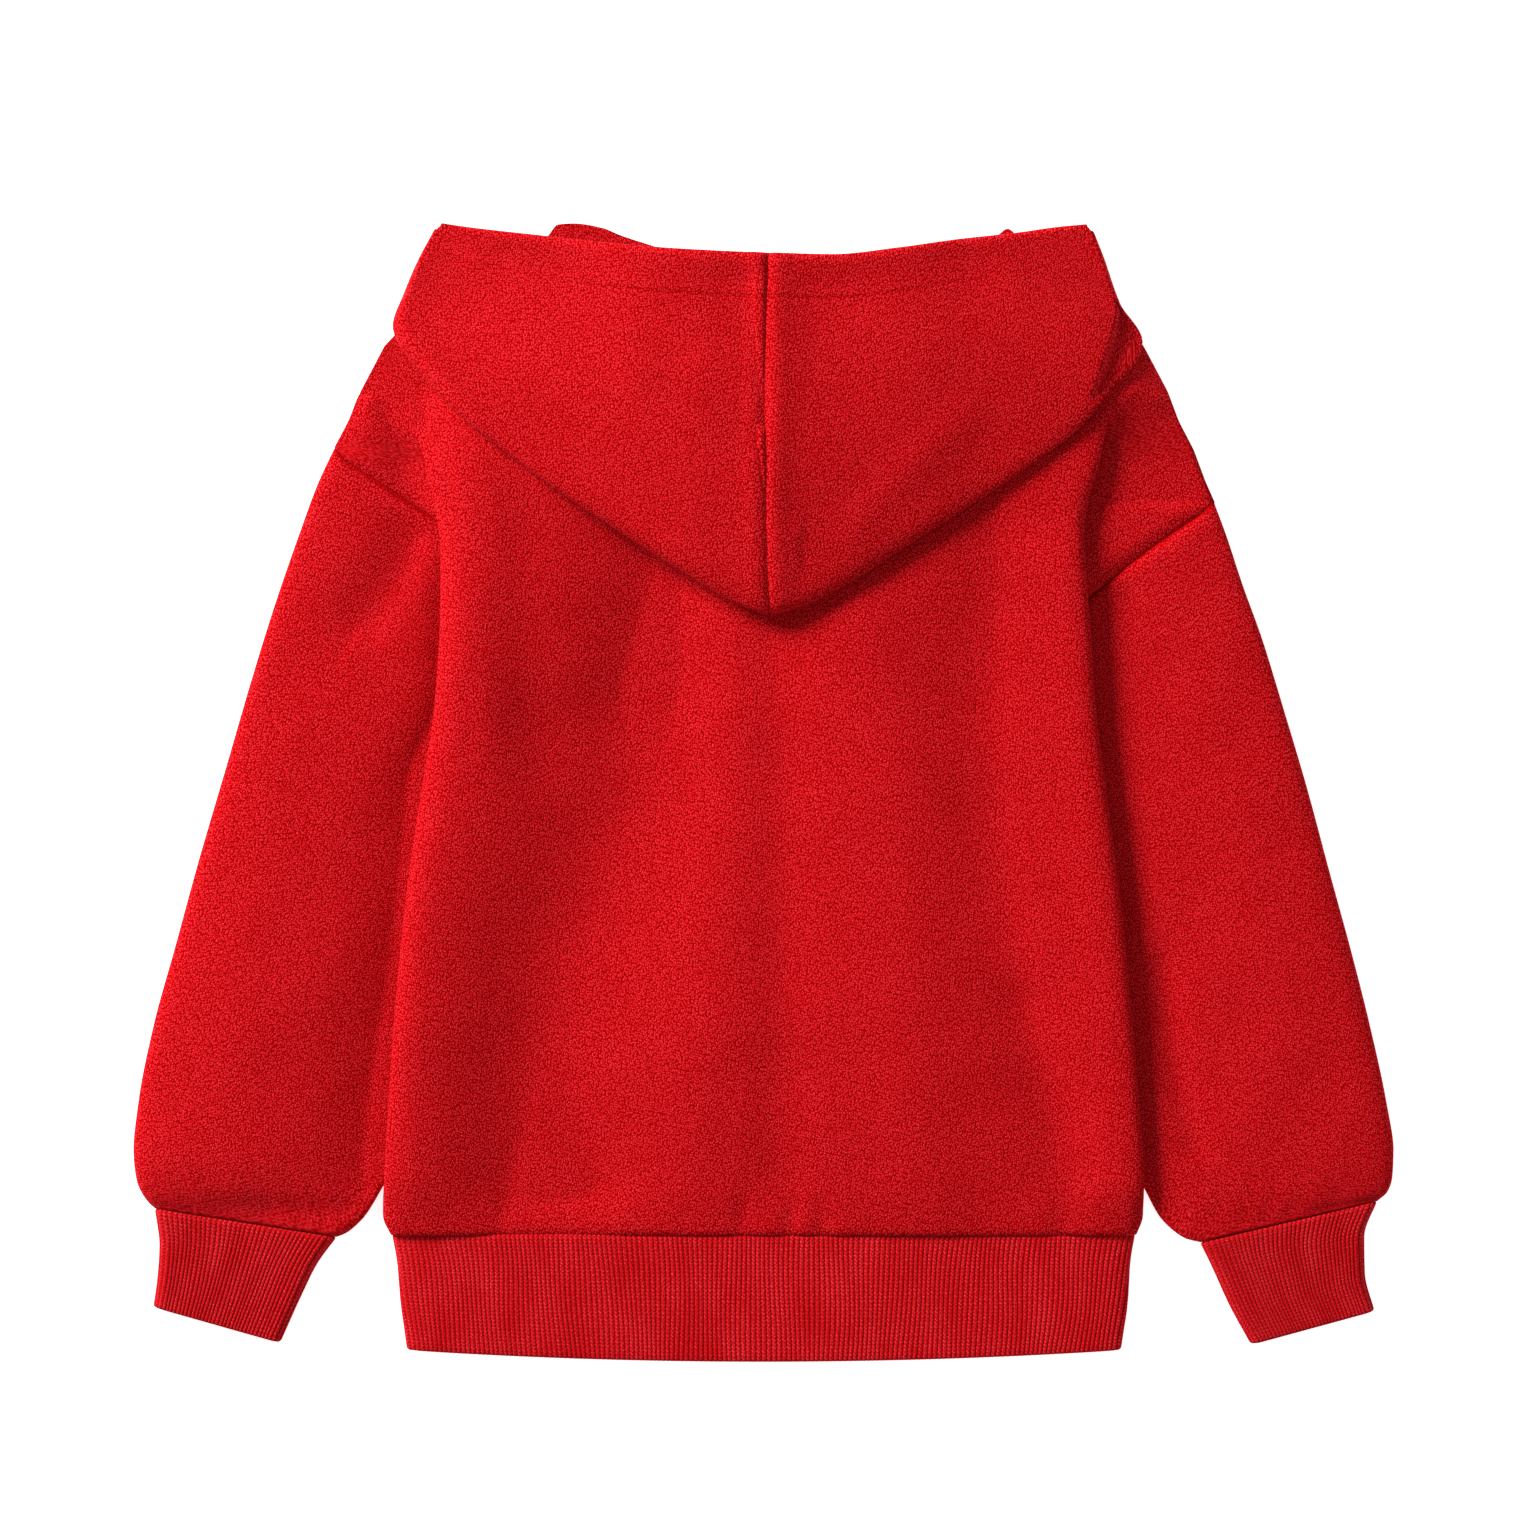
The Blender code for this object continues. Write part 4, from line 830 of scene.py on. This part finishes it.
# ---------------------------------------------------------------- materials
class Nodes:
    """Short calls for making a node tree."""

    def __init__(self, name):
        self.mat = bpy.data.materials.new(name)
        self.mat.use_nodes = True
        self.tree = self.mat.node_tree
        self.bsdf = self.tree.nodes["Principled BSDF"]

    def add(self, kind, **sets):
        node = self.tree.nodes.new(kind)
        for key, value in sets.items():
            if key[0] == "_":
                setattr(node, key[1:], value)
            else:
                node.inputs[key].default_value = value
        return node

    def link(self, a, b):
        self.tree.links.new(a, b)

    def math(self, op, a, b=None, c=None, clamp=False):
        node = self.tree.nodes.new("ShaderNodeMath")
        node.operation = op
        node.use_clamp = clamp
        for i, v in enumerate((a, b, c)):
            if v is None:
                continue
            if isinstance(v, (int, float)):
                node.inputs[i].default_value = v
            else:
                self.link(v, node.inputs[i])
        return node.outputs[0]

    def scaled(self, vector, sx, sy, sz=1.0, turn=0.0):
        node = self.add("ShaderNodeMapping")
        node.inputs["Scale"].default_value = (sx, sy, sz)
        node.inputs["Rotation"].default_value = (0, 0, turn)
        self.link(vector, node.inputs["Vector"])
        return node.outputs["Vector"]

    def ramp(self, factor, *stops):
        node = self.add("ShaderNodeValToRGB")
        ramp = node.color_ramp
        while len(ramp.elements) < len(stops):
            ramp.elements.new(.5)
        for element, (pos, colour) in zip(ramp.elements, stops):
            element.position = pos
            element.color = (*colour, 1)
        self.link(factor, node.inputs["Fac"])
        return node.outputs["Color"]

    def mix(self, factor, a, b):
        node = self.add("ShaderNodeMix", _data_type="RGBA")
        for socket, v in ((node.inputs["Factor"], factor), (node.inputs["A"], a), (node.inputs["B"], b)):
            if hasattr(v, "is_linked"):
                self.link(v, socket)
            else:
                socket.default_value = v if isinstance(v, float) else (*v, 1)
        # colour sockets come after the float and vector ones
        return node


# cloth colour ramp: the darkest stop serves as painted shade between loops and in seams, the palest as a painted
# highlight on loop tips
RED_DARK = (0.320, 0.0004, 0.0008)
RED = (0.500, 0.0012, 0.0034)
RED_LIGHT = (0.610, 0.0036, 0.0075)
RED_PAINTED_HIGHLIGHT = (0.840, 0.0420, 0.0600)


def fleece(name, casing=False, armhole=False, tone=1.0):
    """Brushed sweatshirt jersey: small slanted loops. Its colour follows the loops' height, with painted highlights on
    the loop tips and painted shade between the loops, over a random tone.
    """
    n = Nodes(name)
    uv = n.add("ShaderNodeUVMap", _uv_map="cloth").outputs["UV"]
    loops = n.add("ShaderNodeTexVoronoi", _voronoi_dimensions="2D", _feature="F1", Randomness=.78, Scale=1.0)
    n.link(n.scaled(uv, 1 / .00084, 1 / .00114, turn=.16), loops.inputs["Vector"])
    lot = n.add("ShaderNodeSeparateXYZ")
    n.link(loops.outputs["Color"], lot.inputs[0])
    fuzz = n.add("ShaderNodeTexNoise", _noise_dimensions="2D", Scale=1.0, Detail=1.0, Roughness=.5)
    n.link(n.scaled(uv, 1 / .00055, 1 / .00080, turn=-.3), fuzz.inputs["Vector"])
    fine = n.add("ShaderNodeTexNoise", _noise_dimensions="2D", Scale=1.0, Detail=1.0, Roughness=.5)
    n.link(n.scaled(uv, 1 / .00026, 1 / .00034), fine.inputs["Vector"])
    broad = n.add("ShaderNodeTexNoise", _noise_dimensions="2D", Scale=1.0, Detail=3.0, Roughness=.55)
    n.link(n.scaled(uv, 1 / .018, 1 / .024), broad.inputs["Vector"])
    height = n.math("SUBTRACT", 1.0, loops.outputs["Distance"])
    height = n.math("MULTIPLY_ADD", n.math("SUBTRACT", fuzz.outputs["Fac"], .5), .34, height)
    height = n.math("MULTIPLY_ADD", n.math("SUBTRACT", fine.outputs["Fac"], .5), .25, height)
    # colour from the loops' height is painted light and shade; the random tone per loop and the broad mottle are the
    # cloth's own
    value = n.math("MULTIPLY_ADD", n.math("SUBTRACT", lot.outputs["X"], .5), .15, height)
    colour_at = n.math("MULTIPLY_ADD", n.math("SUBTRACT", broad.outputs["Fac"], .5), .06, value, clamp=True)
    if casing:
        part = n.add("ShaderNodeSeparateXYZ")
        n.link(uv, part.inputs[0])
        off = n.math("ABSOLUTE", n.math("SUBTRACT", part.outputs["Y"], CASING * MM))
        place = n.add("ShaderNodeTexCoord").outputs["Object"]
        across = n.add("ShaderNodeSeparateXYZ")
        n.link(place, across.inputs[0])
        fade = n.math("SUBTRACT", 1.55, n.math("DIVIDE", n.math("ABSOLUTE", across.outputs["X"]), .075), clamp=True)
        groove_and_shade = n.math("SUBTRACT", 1.0, n.math("DIVIDE", off, .0012), clamp=True)
        groove_and_shade = n.math("MULTIPLY", groove_and_shade, n.math("MULTIPLY_ADD", fade, .5, .16))
        thread = n.math("SUBTRACT", 1.0, n.math("DIVIDE", off, .00045), clamp=True)
        dash = n.math("GREATER_THAN", n.math("SINE", n.math("MULTIPLY", part.outputs["X"], 2 * math.pi / .0031)), -.45)
        thread = n.math("MULTIPLY", n.math("MULTIPLY", thread, dash), n.math("MULTIPLY_ADD", fade, .5, .16))
        height = n.math("MULTIPLY_ADD", groove_and_shade, -2.0, height)
        height = n.math("MULTIPLY_ADD", thread, 1.3, height)
        # painted shade: the colour darkened in the dip along the hood's casing stitch
        colour_at = n.math("MULTIPLY_ADD", groove_and_shade, -.16, colour_at, clamp=True)
        colour_at = n.math("MULTIPLY_ADD", thread, .12, colour_at, clamp=True)
    if armhole:
        part = n.add("ShaderNodeSeparateXYZ")
        n.link(uv, part.inputs[0])
        groove_and_shade = n.math("SUBTRACT", 1.0, n.math("DIVIDE", part.outputs["Y"], .0024), clamp=True)
        height = n.math("MULTIPLY_ADD", groove_and_shade, -1.6, height)
        # painted shade: the colour darkened in the dip along the armhole seam
        colour_at = n.math("MULTIPLY_ADD", groove_and_shade, -.34, colour_at, clamp=True)
    tint = [tuple(c * tone for c in colour) for colour in (RED_DARK, RED, RED_LIGHT, RED_PAINTED_HIGHLIGHT)]
    colour = n.ramp(colour_at, (.34, tint[0]), (.56, tint[1]), (.74, tint[2]), (.88, tint[3]))
    n.link(colour, n.bsdf.inputs["Base Color"])
    bump = n.add("ShaderNodeBump", Strength=.7, Distance=.0005)
    n.link(height, bump.inputs["Height"])
    n.link(bump.outputs["Normal"], n.bsdf.inputs["Normal"])
    rough = n.math("MULTIPLY_ADD", fuzz.outputs["Fac"], .12, .80)
    n.link(rough, n.bsdf.inputs["Roughness"])
    n.bsdf.inputs["Specular IOR Level"].default_value = .02
    n.bsdf.inputs["Sheen Weight"].default_value = .06
    n.bsdf.inputs["Sheen Roughness"].default_value = .45
    n.bsdf.inputs["Sheen Tint"].default_value = (1.0, .12, .15, 1)
    return n.mat


def rib_knit(name, tone=1.0):
    """Rib: fine stitch rows across each wale; its colour has painted highlights on the wales and their raised stitches
    and painted shade between the wales.
    """
    n = Nodes(name)
    uv = n.add("ShaderNodeUVMap", _uv_map="cloth").outputs["UV"]
    part = n.add("ShaderNodeSeparateXYZ")
    n.link(uv, part.inputs[0])
    phase = n.math("ABSOLUTE", n.math("COSINE", n.math("MULTIPLY", part.outputs["X"], math.pi / .002)))
    vee = n.math("MULTIPLY_ADD", n.math("ABSOLUTE", n.math("SINE", n.math("MULTIPLY", part.outputs["X"], math.pi / .002))), .0009, part.outputs["Y"])
    row = n.math("SINE", n.math("MULTIPLY", vee, 2 * math.pi / .00155))
    fuzz = n.add("ShaderNodeTexNoise", _noise_dimensions="2D", Scale=1.0, Detail=1.5, Roughness=.6)
    n.link(n.scaled(uv, 1 / .00050, 1 / .00085), fuzz.inputs["Vector"])
    broad = n.add("ShaderNodeTexNoise", _noise_dimensions="2D", Scale=1.0, Detail=2.0, Roughness=.5)
    n.link(n.scaled(uv, 1 / .012, 1 / .030), broad.inputs["Vector"])
    # painted light and shade: lighter on the wale tops, darker between the wales
    painted_wale_shading = n.math("MULTIPLY", phase, n.math("MULTIPLY_ADD", fuzz.outputs["Fac"], 1.3, 1.4), clamp=True)
    height = n.math("MULTIPLY_ADD", row, .24, n.math("MULTIPLY", fuzz.outputs["Fac"], 1.5))
    value = n.math("MULTIPLY_ADD", painted_wale_shading, .31, n.math("MULTIPLY", height, .38))
    value = n.math("MULTIPLY_ADD", n.math("SUBTRACT", broad.outputs["Fac"], .5), .18, value)
    tint = [tuple(c * tone for c in colour) for colour in (RED_DARK, RED, RED_LIGHT, RED_PAINTED_HIGHLIGHT)]
    colour = n.ramp(value, (.29, tint[0]), (.49, tint[1]), (.64, tint[2]), (.75, tint[3]))
    n.link(colour, n.bsdf.inputs["Base Color"])
    bump = n.add("ShaderNodeBump", Strength=.5, Distance=.00035)
    n.link(height, bump.inputs["Height"])
    n.link(bump.outputs["Normal"], n.bsdf.inputs["Normal"])
    n.link(n.math("MULTIPLY_ADD", fuzz.outputs["Fac"], .12, .78), n.bsdf.inputs["Roughness"])
    n.bsdf.inputs["Specular IOR Level"].default_value = .06
    n.bsdf.inputs["Sheen Weight"].default_value = .12
    n.bsdf.inputs["Sheen Roughness"].default_value = .45
    n.bsdf.inputs["Sheen Tint"].default_value = (1.0, .12, .15, 1)
    return n.mat


# ---------------------------------------------------------------- making
def piece(name, verts, faces, loop_uv, mat, wall):
    """A sheet of cloth in metres; verts and loop_uv come in millimetres."""
    mesh = bpy.data.meshes.new(name)
    mesh.from_pydata((np.asarray(verts) * MM).tolist(), [], np.asarray(faces).tolist())
    layer = mesh.uv_layers.new(name="cloth")
    layer.data.foreach_set("uv", (np.asarray(loop_uv) * 1.0).astype(np.float32).ravel())
    mesh.materials.append(mat)
    mesh.shade_smooth()
    obj = bpy.data.objects.new(name, mesh)
    bpy.context.scene.collection.objects.link(obj)
    if wall:
        mod = obj.modifiers.new("wall", "SOLIDIFY")
        mod.thickness = wall * MM
        mod.offset = 0
        mod.use_rim = True
    return obj


def sheet_grid(name, grid, uv, mat, wall, around=False):
    """uv is in metres and has one column more than a closed grid."""
    rows, cols = grid.shape[:2]
    r, c = np.meshgrid(np.arange(rows - 1), np.arange(cols if around else cols - 1), indexing="ij")
    r, c = r.ravel(), c.ravel()
    d = (c + 1) % cols
    faces = np.column_stack([r * cols + c, r * cols + d, (r + 1) * cols + d, (r + 1) * cols + c])
    corner = np.stack([uv[r, c], uv[r, c + 1], uv[r + 1, c + 1], uv[r + 1, c]], axis=1)
    return piece(name, grid.reshape(-1, 3), faces, corner.reshape(-1, 2), mat, wall)


def arc_uv(grid):
    """Cloth coordinates of an open grid: width measured from its middle column."""
    step = np.sqrt((np.diff(grid, axis=1) ** 2).sum(-1))
    u = np.concatenate([np.zeros((len(grid), 1)), np.cumsum(step, axis=1)], axis=1)
    u -= u[:, grid.shape[1] // 2][:, None]
    return np.stack([u, grid[..., 1]], axis=-1) * MM


FLEECE = fleece("fleece_cloth")
FLEECE_HOOD = fleece("fleece_hood", casing=True)
FLEECE_SLEEVE = fleece("fleece_sleeve", armhole=True)
RIB_HEM = rib_knit("rib_hem", .94)
RIB_CUFF = rib_knit("rib_cuff", .86)

back = back_grid()
back_cloth = sheet_grid("back_panel_cloth", back, arc_uv(back), FLEECE, SKIN)
front = front_grid()
front_cloth = sheet_grid("front_panel_cloth", front, arc_uv(front), FLEECE, SKIN)
made = {"back_panel": back_cloth, "front_panel": front_cloth}
for side, word in ((-1, "left"), (1, "right")):
    grid, uv = sleeve_grid(side)
    made["sleeve_" + word] = sheet_grid("sleeve_%s_cloth" % word, grid, uv * MM, FLEECE_SLEEVE, SKIN, around=True)
    grid, uv = rib_band({c: (side * v if c in ("ox", "ix") else v) for c, v in CUFF[side].items()}, 72, .54)
    uv[..., 1] *= MM
    made["cuff_" + word] = sheet_grid("cuff_%s_rib" % word, grid, uv, RIB_CUFF, 0, around=True)
    verts, faces, uv = hood_half(side)
    made["hood_" + word] = piece("hood_%s_cloth" % word, verts, faces, (uv * MM)[np.array(faces).ravel()],
                                 FLEECE_HOOD, SKIN)
hem_rows = {"ox": -HEM["left"], "oy": HEM["y"], "ix": HEM["right"], "iy": HEM["y"], "bow": HEM["bow"]}
grid, uv = rib_band(hem_rows, 300, .54)
uv[..., 1] *= MM
made["hem_rib"] = sheet_grid("hem_rib_knit", grid, uv, RIB_HEM, 0, around=True)

# ---------------------------------------------------------------- the stage
mesh = bpy.data.meshes.new("floor")
mesh.from_pydata([(-6, -6, -.0004), (6, -6, -.0004), (6, 6, -.0004), (-6, 6, -.0004)], [], [(0, 1, 2, 3)])
floor = bpy.data.objects.new("floor", mesh)
bpy.context.scene.collection.objects.link(floor)
n = Nodes("floor_paper")
grain = n.add("ShaderNodeTexNoise", Scale=90.0, Detail=2.0)
n.link(n.ramp(grain.outputs["Fac"], (.3, (.93, .93, .93)), (.7, (.95, .95, .95))), n.bsdf.inputs["Base Color"])
n.bsdf.inputs["Roughness"].default_value = .95
n.bsdf.inputs["Emission Color"].default_value = (1, 1, 1, 1)
n.bsdf.inputs["Emission Strength"].default_value = .8
n.bsdf.inputs["Specular IOR Level"].default_value = 0
mesh.materials.append(n.mat)


def area_light(name, place, target, size, power, colour=(1, 1, 1)):
    data = bpy.data.lights.new(name, "AREA")
    data.shape = "DISK"
    data.size = size
    data.energy = power
    data.color = colour
    lamp = bpy.data.objects.new(name, data)
    bpy.context.scene.collection.objects.link(lamp)
    lamp.location = place
    direction = np.array(target, float) - np.array(place, float)
    from mathutils import Vector
    lamp.rotation_mode = "QUATERNION"
    lamp.rotation_quaternion = Vector(direction).to_track_quat("-Z", "Y")
    return lamp


area_light("key", (-2.66, 2.07, 1.76), (0, 0, 0), 1.4, 248)
area_light("fill", (1.2, -1.0, 2.2), (0, 0, 0), 1.6, 7)

world = bpy.data.worlds.new("studio")
world.use_nodes = True
world.node_tree.nodes["Background"].inputs["Color"].default_value = (1, 1, 1, 1)
world.node_tree.nodes["Background"].inputs["Strength"].default_value = .27
bpy.context.scene.world = world
bpy.context.scene.view_settings.view_transform = "Standard"
bpy.context.scene.view_settings.look = "None"
bpy.context.scene.view_settings.exposure = 0
bpy.context.scene.view_settings.gamma = 1

FRAME_MM = 1534 * .45
LENS = 100.0
cam_data = bpy.data.cameras.new("camera")
cam_data.lens = LENS
cam_data.sensor_width = 36
cam = bpy.data.objects.new("camera", cam_data)
bpy.context.scene.collection.objects.link(cam)
cam.location = ((767 - 763.5) * .45 * MM, (792 - 767) * .45 * MM, .012 + FRAME_MM * MM * LENS / 36)
cam.rotation_euler = (0, 0, 0)
bpy.context.scene.camera = cam

for node, obj in made.items():
    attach(obj, "root")
    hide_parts(node)
